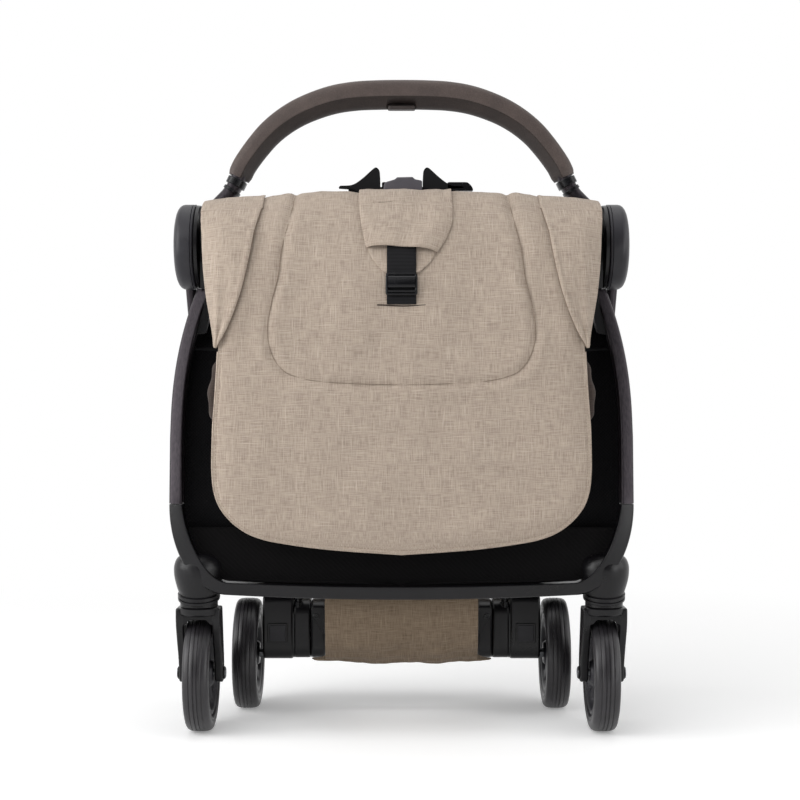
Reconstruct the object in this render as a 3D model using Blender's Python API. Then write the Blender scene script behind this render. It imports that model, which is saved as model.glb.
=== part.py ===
"""A compact stroller, folded and standing on its four wheels.

+X is to the right, +Y to the back and +Z up. The front faces -Y, and the
origin lies on the floor under the middle. Lengths are in metres. Two leg
frames, the seat, the backrest and the canopy all turn about the two hubs.
"""

import math

import bpy
from mathutils import Vector

for leftover in list(bpy.data.objects):
    bpy.data.objects.remove(leftover, do_unlink=True)

# Fits
GAP = 0.0003
RUN_FIT = 0.0004

# Hubs and the tube between them
HUB_Y = -0.0256
HUB_Z = 0.516
HUB_RADIUS = 0.046
HUB_OUTER_X = 0.2455
HUB_COVER_THICK = 0.0238
HUB_RING_THICK = 0.0051
CROSS_RADIUS = 0.009
COVER_WALL = 0.0095
COVER_RECESS_RADIUS = 0.034

# Lanes beside the seat, from the hub inwards
SLEEVE_OUTER_X = HUB_OUTER_X - HUB_COVER_THICK - HUB_RING_THICK - 2 * GAP - 0.0005
SLEEVE_WIDTH = 0.0205
BOW_THICK = 0.002
LANE_GAP = 0.0005
BRACKET_THICK = 0.0025

# Front frame
SIDE_TUBE_WIDTH = 0.014
SIDE_TUBE_DEPTH = 0.025
SIDE_TUBE_BOW = 0.236
SIDE_TUBE_TOP_X = 0.2125
FOOT_JOINT_Z = 0.2425
FRAME_LEAN = 0.062
BAR_BOTTOM_Z = 0.144
BAR_HEIGHT = 0.0136
BAR_FRONT = -0.090
BAR_DEPTH = 0.025
PANEL_THICK = 0.003
PANEL_TOP_Z = 0.216
MESH_TOP_Z = 0.405
MESH_THICK = 0.002

# Front casters
CASTER_INSET = 0.024
CASTER_Y = -0.062
TRAIL = 0.022
FRONT_RADIUS = 0.061
TYRE_WIDTH = 0.027
TYRE_SECTION = 0.016
RIM_HUB_RADIUS = 0.012
FORK_INNER = 0.0175
FORK_THICK = 0.006
FORK_TOP_Z = 0.1342
FORK_CROWN = 0.0078
STEM_RADIUS = 0.006
STEM_TOP_Z = 0.158
FRONT_AXLE_RADIUS = 0.004
HOUSING_RADIUS = 0.0222
HOUSING_TOP_Z = 0.187

# Rear frame
REAR_WHEEL_X = 0.174
REAR_Y = 0.083
REAR_RADIUS = 0.062
REAR_AXLE_RADIUS = 0.005
REAR_LEG_WIDTH = 0.012
REAR_LEG_DEPTH = 0.018
REAR_LEG_TOP_X = 0.2305
REAR_LEG_FOOT_X = 0.209
REAR_LEG_TOP_Y = 0.0175
REAR_LEG_FOOT_Y = 0.0695
SHOE_TOP_Z = 0.159
BLOCK_TOP_Z = 0.130
BLOCK_INNER_X = 0.1025
BLOCK_OUTER_X = 0.156
BLOCK_FRONT = 0.056
BLOCK_DEPTH = 0.050
PEDAL_WIDTH = 0.0165
PEDAL_REACH = 0.050

# Push bar
PUSH_Y = 0.022
PUSH_WIDTH = 0.016
PUSH_DEPTH = 0.022
PUSH_BOTTOM_Z = 0.165
ARCH_FOOT_Z = 0.5565
ARCH_THICK = 0.017
ARCH_DEPTH = 0.024
ARCH_TOP_Z = 0.6862
GRIP_WALL = 0.0042
GRIP_SWELL = 0.0028
GRIP_START = 5
BUTTON_LENGTH = 0.030
BUTTON_WIDTH = 0.011
BUTTON_HEIGHT = 0.0043
BUTTON_TRAVEL = 0.003

# Backrest
BACK_PIVOT_Y = -0.018
BACK_PIVOT_Z = 0.548
PIN_RADIUS = 0.004
PIN_LENGTH = 0.011
BACK_HALF_WIDTH = 0.1905
BACK_TOP_HALF_WIDTH = 0.186
BACK_BOTTOM_Z = 0.193
BACK_THICK = 0.013
BOARD_THICK = 0.0032
BACK_BOARD_Y = -0.0880
BACK_PAD_THICK = 0.0062
WING_THICK = 0.0026
FLAP_THICK = 0.003
STRAP_HALF_WIDTH = 0.015
STRAP_THICK = 0.0018
STRAP_BOTTOM_Z = 0.450
SLIDER_HALF_WIDTH = 0.0165
SLIDER_HEIGHT = 0.0225
SLIDER_THICK = 0.0055

# Seat and leg rest
SEAT_PIVOT_Y = -0.035
SEAT_PIVOT_Z = 0.440
SEAT_TOP_Z = 0.496
SEAT_BOTTOM_Z = 0.275
SEAT_BOARD_Y = -0.0618
SEAT_BOARD_THICK = 0.0038
SEAT_PAD_THICK = 0.0135
SEAT_HALF_WIDTH = 0.176
LEG_REST_HALF_WIDTH = 0.122
LEG_REST_LENGTH = 0.0565
LEG_REST_THICK = 0.011

# Canopy
BOW_DEPTH = 0.012
REAR_BOW_ANGLE = math.radians(18)
FRONT_BOW_ANGLE = math.radians(22.5)
BOW_REACH = 0.402
BOW_CORNER = 0.110
CANOPY_THICK = 0.008
CANOPY_EDGE = 0.012

# Basket and harness
BASKET_HALF_WIDTH = 0.084
BASKET_BOTTOM_Z = 0.0624
BASKET_THICK = 0.003
BASKET_DROP = 0.008
HARNESS_HALF_WIDTH = 0.060
HARNESS_TOP_Z = 0.584
WEB_THICK = 0.003
EAR_HEIGHT = 0.030

# Values that follow from the sizes above
SLEEVE_INNER_X = SLEEVE_OUTER_X - SLEEVE_WIDTH
FRONT_BOW_X = SLEEVE_INNER_X - LANE_GAP - BOW_THICK / 2
REAR_BOW_X = FRONT_BOW_X - LANE_GAP - BOW_THICK
BRACKET_INNER_X = REAR_BOW_X - LANE_GAP - BOW_THICK / 2 - BRACKET_THICK
PUSH_X = (SLEEVE_INNER_X + SLEEVE_OUTER_X) / 2
SLEEVE_BOTTOM_Z = HUB_Z - HUB_RADIUS
EYE_INNER_X = BRACKET_INNER_X - GAP - 0.009
EYE_OUTER_X = BRACKET_INNER_X - GAP
AXLE_Y = CASTER_Y + TRAIL
CASTER_X = SIDE_TUBE_BOW - CASTER_INSET
BAR_REAR = BAR_FRONT + BAR_DEPTH
SEAT_PAD_Y = SEAT_BOARD_Y - GAP - SEAT_PAD_THICK

SIDES = (("left", -1), ("right", 1))


def srgb(code):
    """A linear colour from a hex code."""
    parts = [int(code[i : i + 2], 16) / 255 for i in (0, 2, 4)]
    return [c / 12.92 if c <= 0.04045 else ((c + 0.055) / 1.055) ** 2.4 for c in parts] + [1]


def material(name, code, roughness, metallic=0.0):
    made = bpy.data.materials.new(name)
    made.use_nodes = True
    shader = made.node_tree.nodes["Principled BSDF"]
    shader.inputs["Base Color"].default_value = srgb(code)
    shader.inputs["Roughness"].default_value = roughness
    shader.inputs["Metallic"].default_value = metallic
    made.diffuse_color = srgb(code)
    return made


FINISH = {
    "linen": ("B5A58F", 0.95, 0.0),
    "liner": ("6E6257", 0.95, 0.0),
    "webbing": ("1B1B1E", 0.85, 0.0),
    "mesh": ("17171A", 0.9, 0.0),
    "anodised": ("2E2B2F", 0.38, 0.85),
    "moulded": ("232226", 0.5, 0.0),
    "grip": ("574C46", 0.6, 0.0),
    "tyre": ("1C1C1F", 0.75, 0.0),
    "steel": ("8A8C90", 0.35, 1.0),
    "grey": ("5C5D62", 0.5, 0.0),
}


def empty(name, y, z, x=0.0, parent=None):
    """An empty on a joint's axis. Its place is kept in world values."""
    made = bpy.data.objects.new(name, None)
    bpy.context.collection.objects.link(made)
    made["at"] = (x, HUB_Y + y, z)
    if parent:
        made.parent = parent
        made.location = Vector(made["at"]) - Vector(parent["at"])
    else:
        made.location = made["at"]
    return made


def solid(name, points, faces, finish, body, smooth=True):
    """A named object from points given from the hub line, placed under its body's empty."""
    at = Vector(body["at"])
    mesh = bpy.data.meshes.new(name)
    mesh.from_pydata([Vector((x, HUB_Y + y, z)) - at for x, y, z in points], [], faces)
    mesh.validate()
    made = bpy.data.objects.new(name, mesh)
    bpy.context.collection.objects.link(made)
    made.parent = body
    if finish:
        mesh.materials.append(material(name, *FINISH[finish]))
    volume = sum(
        mesh.vertices[t.vertices[0]].co.dot(
            mesh.vertices[t.vertices[1]].co.cross(mesh.vertices[t.vertices[2]].co)
        )
        for t in triangles_of(mesh)
    )
    if volume < 0:
        mesh.flip_normals()
    if smooth:
        mesh.shade_smooth()
        mesh.set_sharp_from_angle(angle=math.radians(35))
    return made


def triangles_of(mesh):
    mesh.calc_loop_triangles()
    return mesh.loop_triangles


def loft(rings, loop=False):
    """Points and faces of a skin over rings of equal size, capped unless it closes on itself."""
    size = len(rings[0])
    points = [p for ring in rings for p in ring]
    faces = []
    for i in range(len(rings) if loop else len(rings) - 1):
        a, b = i * size, (i + 1) % len(rings) * size
        for j in range(size):
            k = (j + 1) % size
            faces.append((a + j, a + k, b + k, b + j))
    if not loop:
        faces.append(tuple(range(size))[::-1])
        faces.append(tuple(range(len(points) - size, len(points))))
    return points, faces


def turned(profile, centre, axis, steps):
    """A closed profile of (along, radius) pairs, turned about an axis through centre."""
    rings = []
    for i in range(steps):
        angle = math.tau * (i + 0.5) / steps
        c, s = math.cos(angle), math.sin(angle)
        ring = []
        for along, radius in profile:
            if axis == "X":
                ring.append((along, centre[0] + radius * c, centre[1] + radius * s))
            else:
                ring.append((centre[0] + radius * c, centre[1] + radius * s, along))
        rings.append(ring)
    return loft(rings, loop=True)


def rod(start, end, radius, centre, axis, steps=16):
    """A plain round bar along an axis, from start to end."""
    rings = []
    for along in (start, end):
        ring = []
        for i in range(steps):
            angle = math.tau * (i + 0.5) / steps
            c, s = radius * math.cos(angle), radius * math.sin(angle)
            if axis == "X":
                ring.append((along, centre[0] + c, centre[1] + s))
            else:
                ring.append((centre[0] + c, centre[1] + s, along))
        rings.append(ring)
    return loft(rings)


def prism(outline, low, high, axis="X"):
    """An outline pushed from low to high: (y, z) pairs along X, (x, z) along Y, (x, y) along Z."""
    if axis == "X":
        rings = [[(x, y, z) for y, z in outline] for x in (low, high)]
    elif axis == "Y":
        rings = [[(x, y, z) for x, z in outline] for y in (low, high)]
    else:
        rings = [[(x, y, z) for x, y in outline] for z in (low, high)]
    return loft(rings)


def box(low, high):
    x0, y0, z0 = low
    x1, y1, z1 = high
    return prism([(y0, z0), (y1, z0), (y1, z1), (y0, z1)], x0, x1)


def arc(cy, cz, radius, start, end, count):
    """Points on an arc, its angles in degrees from +first axis."""
    out = []
    for i in range(count):
        a = math.radians(start + (end - start) * i / (count - 1))
        out.append((cy + radius * math.cos(a), cz + radius * math.sin(a)))
    return out


def hull(circles, steps=16):
    """The convex outline round several circles (a, b, radius)."""
    points = sorted(
        (a + r * math.cos(math.tau * i / steps), b + r * math.sin(math.tau * i / steps))
        for a, b, r in circles
        for i in range(steps)
    )

    def half(ordered):
        chain = []
        for p in ordered:
            while len(chain) > 1:
                (ax, ay), (bx, by) = chain[-2], chain[-1]
                if (bx - ax) * (p[1] - ay) - (by - ay) * (p[0] - ax) > 1e-10:
                    break
                chain.pop()
            chain.append(p)
        return chain[:-1]

    return half(points) + half(points[::-1])


def oval(width, depth, power=2.0, count=12):
    """Points of a rounded section, (across, deep), a higher power squarer."""
    out = []
    for i in range(count):
        a = math.tau * (i + 0.5) / count
        c, s = math.cos(a), math.sin(a)
        out.append(
            (
                width / 2 * math.copysign(abs(c) ** (2 / power), c),
                depth / 2 * math.copysign(abs(s) ** (2 / power), s),
            )
        )
    return out


def sweep(path, sections):
    """Rings of a tube along (x, y, z) points. A section's first value lies across the
    path in the XZ plane, its second along Y."""
    rings = []
    for i, (x, y, z) in enumerate(path):
        x0, _, z0 = path[max(i - 1, 0)]
        x1, _, z1 = path[min(i + 1, len(path) - 1)]
        size = math.hypot(x1 - x0, z1 - z0)
        nx, nz = (z1 - z0) / size, -(x1 - x0) / size
        section = sections[i] if isinstance(sections[0], list) else sections
        rings.append([(x + nx * a, y + b, z + nz * a) for a, b in section])
    return rings


def boolean(target, tool_points, tool_faces, kind="DIFFERENCE"):
    """Cuts a hidden tool from an object, or joins it on."""
    body = target.parent
    tool = solid(f"{target.name}_tool_{len(target.modifiers)}", tool_points, tool_faces, None, body)
    tool.hide_render = True
    tool.display_type = "WIRE"
    cut = target.modifiers.new(kind.title(), "BOOLEAN")
    cut.operation = kind
    cut.object = tool
    cut.solver = "EXACT"
    return target


def mirrored(points, side):
    return [(x * side, y, z) for x, y, z in points]


def frame_line(z):
    """The side tube's middle at a height: its distance out and its depth."""
    top = HUB_Z - HUB_RADIUS - 2 * GAP
    f = (top - z) / (top - FOOT_JOINT_Z)
    grow = 1 - (1 - min(f / 0.62, 1)) ** 2.2
    x = SIDE_TUBE_TOP_X + (SIDE_TUBE_BOW - SIDE_TUBE_TOP_X) * grow
    return x - 0.002 * max(0, f - 0.7) / 0.3, -0.010 - FRAME_LEAN * f


def bar_pair(t):
    """The inner and outer edge of the foot bar, (x, z), at t from 0, mid bar, to 1, the joint."""
    foot_x, _ = frame_line(FOOT_JOINT_Z)
    half = SIDE_TUBE_WIDTH / 2
    radius_out, radius_in = 0.062, 0.050
    out_x, in_x = foot_x + half, foot_x - half
    rise = 0.0085
    if t < 0.5:
        x = (out_x - radius_out) * t / 0.5
        lift = rise * (x / out_x) ** 2
        return (x * 0.985, BAR_BOTTOM_Z + BAR_HEIGHT + lift * 0.9), (x, BAR_BOTTOM_Z + lift)
    a = math.radians(-90 + 90 * (t - 0.5) / 0.5)
    lift = rise * ((out_x - radius_out) / out_x) ** 2
    outer = (
        out_x - radius_out + radius_out * math.cos(a),
        BAR_BOTTOM_Z + lift + (FOOT_JOINT_Z - GAP - BAR_BOTTOM_Z - lift) * (1 + math.sin(a)),
    )
    low = BAR_BOTTOM_Z + BAR_HEIGHT + lift * 0.9
    inner = (
        in_x - radius_in + radius_in * math.cos(a) - 0.0045 * math.sin(2 * (a + math.pi / 2)),
        low + (FOOT_JOINT_Z - GAP - low) * (1 + math.sin(a)),
    )
    return inner, outer


def foot_bar_rings(grow=0.0):
    """Sections of the foot bar, left joint to right joint. grow makes it a cutter."""
    rings = []
    count = 15
    for i in range(-count, count + 1):
        inner, outer = bar_pair(abs(i) / count)
        side = -1 if i < 0 else 1
        mid_x, mid_z = (inner[0] + outer[0]) / 2, (inner[1] + outer[1]) / 2
        dx, dz = (outer[0] - inner[0]) / 2, (outer[1] - inner[1]) / 2
        size = math.hypot(dx, dz)
        ux, uz = dx / size, dz / size
        end = abs(i) / count
        mid_y = (BAR_FRONT + BAR_REAR) / 2
        joint_y = frame_line(FOOT_JOINT_Z)[1]
        y = mid_y + (joint_y - mid_y) * max(0, (end - 0.6) / 0.4) ** 1.5
        ring = []
        for a, b in oval(2 * (size + grow), BAR_DEPTH + 2 * grow, 4.0, 12):
            ring.append((side * (mid_x + ux * a) if i else mid_x + ux * a, y + b, mid_z + uz * a))
        rings.append(ring)
    return rings


root = empty("hub_frame", 0, HUB_Z)
front = empty("front_frame_pivot", 0, HUB_Z, parent=root)
rear = empty("rear_frame_pivot", 0, HUB_Z, parent=front)
push = empty("push_bar_slide", PUSH_Y, HUB_Z, parent=front)
button = empty("fold_button_slide", PUSH_Y, ARCH_TOP_Z, parent=push)
back = empty("backrest_pivot", BACK_PIVOT_Y, BACK_PIVOT_Z, parent=root)
slide = empty("strap_slider_slide", -0.1, STRAP_BOTTOM_Z, parent=back)
seat = empty("seat_pivot", SEAT_PIVOT_Y, SEAT_PIVOT_Z, parent=root)
leg_rest = empty(
    "leg_rest_pivot", SEAT_BOARD_Y + SEAT_BOARD_THICK, SEAT_BOTTOM_Z - GAP / 2, parent=seat
)
canopy = empty("canopy_pivot", 0, HUB_Z, parent=root)
visor = empty("canopy_front_pivot", 0, HUB_Z, parent=canopy)
casters, front_wheels, rear_wheels, brakes = {}, {}, {}, {}
for side_name, side in SIDES:
    casters[side] = empty(f"caster_{side_name}_axis", CASTER_Y, FORK_TOP_Z, side * CASTER_X, front)
    front_wheels[side] = empty(
        f"front_wheel_{side_name}_axis", AXLE_Y, FRONT_RADIUS, side * CASTER_X, casters[side]
    )
    rear_wheels[side] = empty(
        f"rear_wheel_{side_name}_axis", REAR_Y, REAR_RADIUS, side * REAR_WHEEL_X, rear
    )
    brakes[side] = empty(
        f"brake_{side_name}_axis", REAR_Y, REAR_RADIUS, side * BLOCK_INNER_X, rear
    )


def make_hubs():
    """The tube through both hubs, and on each side its ring, cover and seat bracket."""
    cover_inner = HUB_OUTER_X - HUB_COVER_THICK
    tube_end = HUB_OUTER_X - COVER_WALL - GAP
    solid("hub_cross_tube", *rod(-tube_end, tube_end, CROSS_RADIUS, (0, HUB_Z), "X"), "steel", root)
    bore = CROSS_RADIUS + RUN_FIT
    for side_name, side in SIDES:
        inner = cover_inner - GAP - HUB_RING_THICK
        profile = [
            (side * inner, bore),
            (side * inner, HUB_RADIUS - 0.0016),
            (side * (inner + 0.001), HUB_RADIUS - 0.0006),
            (side * (cover_inner - GAP), HUB_RADIUS - 0.0006),
            (side * (cover_inner - GAP), bore),
        ]
        solid(f"hub_ring_{side_name}", *turned(profile, (0, HUB_Z), "X", 28), "moulded", root)
        r = HUB_RADIUS
        face = HUB_OUTER_X
        dome = [
            (cover_inner, r),
            (face - 0.0135, r),
            (face - 0.008, r * 0.975),
            (face - 0.0045, r * 0.78),
            (face - 0.0012, r * 0.50),
            (face, r * 0.2),
            (face, 0.002),
            (face - COVER_WALL, 0.002),
            (face - COVER_WALL, CROSS_RADIUS + RUN_FIT),
            (face - COVER_WALL, COVER_RECESS_RADIUS),
            (cover_inner, COVER_RECESS_RADIUS),
        ]
        dome = [(side * x, radius) for x, radius in dome]
        solid(f"hub_cover_{side_name}", *turned(dome, (0, HUB_Z), "X", 28), "moulded", rear)

        low, high = side * BRACKET_INNER_X, side * (BRACKET_INNER_X + BRACKET_THICK)
        outline = hull(
            [
                (0, HUB_Z, 0.017),
                (BACK_PIVOT_Y, BACK_PIVOT_Z, 0.010),
                (SEAT_PIVOT_Y, SEAT_PIVOT_Z, 0.010),
            ]
        )
        bracket = solid(f"seat_bracket_{side_name}", *prism(outline, low, high), "anodised", root)
        for y, z in ((BACK_PIVOT_Y, BACK_PIVOT_Z), (SEAT_PIVOT_Y, SEAT_PIVOT_Z)):
            tip = side * (BRACKET_INNER_X - PIN_LENGTH)
            middle = (low + high) / 2
            boolean(bracket, *rod(tip, middle, PIN_RADIUS, (y, z), "X", 12), "UNION")
        reach = (low - side * 0.001, high + side * 0.001)
        boolean(bracket, *rod(*reach, bore, (0, HUB_Z), "X"))


def make_front_frame():
    """The leg tops with their sleeves, the side tubes, the foot bar and what it holds."""
    for side_name, side in SIDES:
        bottom = SLEEVE_BOTTOM_Z - 0.0001
        sleeve_back = PUSH_Y + PUSH_DEPTH / 2 + 0.0045
        outline = [
            (-0.025, bottom),
            (-0.029, HUB_Z - 0.018),
            *arc(0, HUB_Z, 0.029, 185, 100, 7),
            (0.008, HUB_Z + 0.0375),
            (sleeve_back - 0.003, HUB_Z + 0.0375),
            (sleeve_back, HUB_Z + 0.0345),
            (sleeve_back, bottom + 0.004),
            (sleeve_back - 0.004, bottom),
        ]
        top = solid(
            f"front_leg_top_{side_name}",
            *prism(outline, side * SLEEVE_INNER_X, side * SLEEVE_OUTER_X),
            "moulded",
            front,
        )
        slot = oval(PUSH_WIDTH + 2 * GAP, PUSH_DEPTH + 2 * GAP, 3.0, 16)
        slot = [(side * PUSH_X + a, PUSH_Y + b) for a, b in slot]
        boolean(top, *prism(slot, bottom - 0.01, HUB_Z + 0.05, "Z"))
        hole = CROSS_RADIUS + RUN_FIT
        reach = (side * (SLEEVE_INNER_X - 0.001), side * (SLEEVE_OUTER_X + 0.001))
        boolean(top, *rod(*reach, hole, (0, HUB_Z), "X"))

        top_z = HUB_Z - HUB_RADIUS - 2 * GAP
        path = []
        for i in range(12):
            z = top_z + (FOOT_JOINT_Z - top_z) * i / 11
            x, y = frame_line(z)
            path.append((side * x, y, z))
        section = oval(SIDE_TUBE_WIDTH, SIDE_TUBE_DEPTH, 3.6, 12)
        rings = sweep(path, section)
        for ring, z in ((rings[0], top_z), (rings[-1], FOOT_JOINT_Z)):
            for k, (px, py, _) in enumerate(ring):
                ring[k] = (px, py, z)
        solid(f"front_side_tube_{side_name}", *loft(rings), "anodised", front)

        r = HOUSING_RADIUS
        low = FORK_TOP_Z + 0.0022
        profile = [
            (low, STEM_RADIUS + RUN_FIT),
            (low, r - 0.001),
            (low + 0.001, r),
            (low + 0.004, r),
            (low + 0.005, r - 0.0012),
            (low + 0.022, r + 0.0002),
            (low + 0.035, r - 0.004),
            (low + 0.043, r - 0.011),
            (HOUSING_TOP_Z, 0.003),
            (STEM_TOP_Z + 0.0008, 0.003),
            (STEM_TOP_Z + 0.0008, STEM_RADIUS + RUN_FIT),
        ]
        housing = solid(
            f"swivel_housing_{side_name}",
            *turned(profile, (side * CASTER_X, CASTER_Y), "Z", 20),
            "moulded",
            front,
        )
        boolean(housing, *loft(foot_bar_rings(GAP)))
        cut = [(-0.26, BAR_FRONT - 0.01), (0.26, BAR_FRONT - 0.01), (0.26, BAR_REAR + GAP)]
        cut.append((-0.26, BAR_REAR + GAP))
        boolean(housing, *prism(cut, BAR_BOTTOM_Z + 0.012, HOUSING_TOP_Z + 0.01, "Z"))

    solid("foot_bar", *loft(foot_bar_rings()), "moulded", front)

    edge = []
    for i in range(16):
        inner, _ = bar_pair(0.08 + 0.92 * i / 15)
        if inner[1] < PANEL_TOP_Z - 0.004:
            edge.append((inner[0] - 0.0012, inner[1] + 0.0007))
    edge.append((bar_pair(1)[0][0] - 0.006, PANEL_TOP_Z))
    outline = [(-x, z) for x, z in edge[::-1]] + edge
    panel_y = BAR_REAR - 0.008
    solid("foot_panel", *prism(outline, panel_y, panel_y + PANEL_THICK, "Y"), "moulded", front)

    rings = []
    rows = 7
    for i in range(rows):
        z = PANEL_TOP_Z + GAP + (MESH_TOP_Z - PANEL_TOP_Z) * i / (rows - 1)
        x, y = frame_line(max(z, FOOT_JOINT_Z))
        x -= SIDE_TUBE_WIDTH / 2 - 0.002
        y += SIDE_TUBE_DEPTH / 2 + 0.0021
        rings.append(
            [(-x, y, z), (x, y, z), (x, y + MESH_THICK, z), (-x, y + MESH_THICK, z)]
        )
    solid("calf_mesh", *loft(rings), "mesh", front)


def make_wheel(name, side, x, y, radius, axle_radius, body):
    """A tyre, and the rim that carries it on a plain bearing."""
    half = TYRE_WIDTH / 2
    seat_r = radius - TYRE_SECTION
    tread = radius / math.cos(math.pi / 32)
    tyre = [
        (x - half + 0.003, seat_r),
        (x - half, seat_r + 0.004),
        (x - half, tread - 0.0075),
        (x - half + 0.0035, tread - 0.0018),
        (x - half + 0.009, tread),
        (x + half - 0.009, tread),
        (x + half - 0.0035, tread - 0.0018),
        (x + half, tread - 0.0075),
        (x + half, seat_r + 0.004),
        (x + half - 0.003, seat_r),
    ]
    solid(f"{name}_tyre", *turned(tyre, (y, radius), "X", 32), "tyre", body)
    rim_r = seat_r - GAP
    bore = axle_radius + RUN_FIT
    rim = [
        (x - half + 0.001, bore),
        (x - half + 0.001, RIM_HUB_RADIUS),
        (x - 0.004, RIM_HUB_RADIUS + 0.003),
        (x - 0.004, rim_r - 0.006),
        (x - half + 0.004, rim_r - 0.003),
        (x - half + 0.004, rim_r),
        (x + half - 0.004, rim_r),
        (x + half - 0.004, rim_r - 0.003),
        (x + 0.004, rim_r - 0.006),
        (x + 0.004, RIM_HUB_RADIUS + 0.003),
        (x + half - 0.001, RIM_HUB_RADIUS),
        (x + half - 0.001, bore),
    ]
    solid(f"{name}_rim", *turned(rim, (y, radius), "X", 32), "moulded", body)


def make_casters():
    """Each front caster: a fork with its stem, the axle and the wheel."""
    for side_name, side in SIDES:
        x = side * CASTER_X
        body = casters[side]
        leg_outline = [
            (CASTER_Y - 0.012, FORK_TOP_Z),
            (CASTER_Y - 0.012, FORK_TOP_Z - 0.016),
            (AXLE_Y - 0.010, FRONT_RADIUS + 0.012),
            *arc(AXLE_Y, FRONT_RADIUS, 0.0095, 180, 360, 7),
            (AXLE_Y + 0.008, FRONT_RADIUS + 0.020),
            (CASTER_Y + 0.017, FORK_TOP_Z - 0.010),
            (CASTER_Y + 0.014, FORK_TOP_Z),
        ]
        outer = FORK_INNER + FORK_THICK
        fork = solid(
            f"caster_fork_{side_name}",
            *prism(leg_outline, x + FORK_INNER, x + outer),
            "moulded",
            body,
        )
        boolean(fork, *prism(leg_outline, x - outer, x - FORK_INNER), "UNION")
        low = (x - outer + 0.001, CASTER_Y - 0.0115, FORK_TOP_Z - FORK_CROWN)
        high = (x + outer - 0.001, CASTER_Y + 0.0135, FORK_TOP_Z - 0.0005)
        boolean(fork, *box(low, high), "UNION")
        stem = rod(FORK_TOP_Z - 0.004, STEM_TOP_Z, STEM_RADIUS, (x, CASTER_Y), "Z")
        boolean(fork, *stem, "UNION")
        hole = FRONT_AXLE_RADIUS + RUN_FIT
        boolean(fork, *rod(x - 0.03, x + 0.03, hole, (AXLE_Y, FRONT_RADIUS), "X"))

        head = outer + GAP
        axle = [
            (x - head - 0.0018, 0.0015),
            (x - head - 0.0018, 0.0055),
            (x - head, 0.0065),
            (x - head, FRONT_AXLE_RADIUS),
            (x + head, FRONT_AXLE_RADIUS),
            (x + head, 0.0065),
            (x + head + 0.0018, 0.0055),
            (x + head + 0.0018, 0.0015),
        ]
        centre = (AXLE_Y, FRONT_RADIUS)
        solid(f"front_axle_{side_name}", *turned(axle, centre, "X", 16), "steel", body)
        make_wheel(
            f"front_{side_name}",
            side,
            x,
            AXLE_Y,
            FRONT_RADIUS,
            FRONT_AXLE_RADIUS,
            front_wheels[side],
        )


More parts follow.
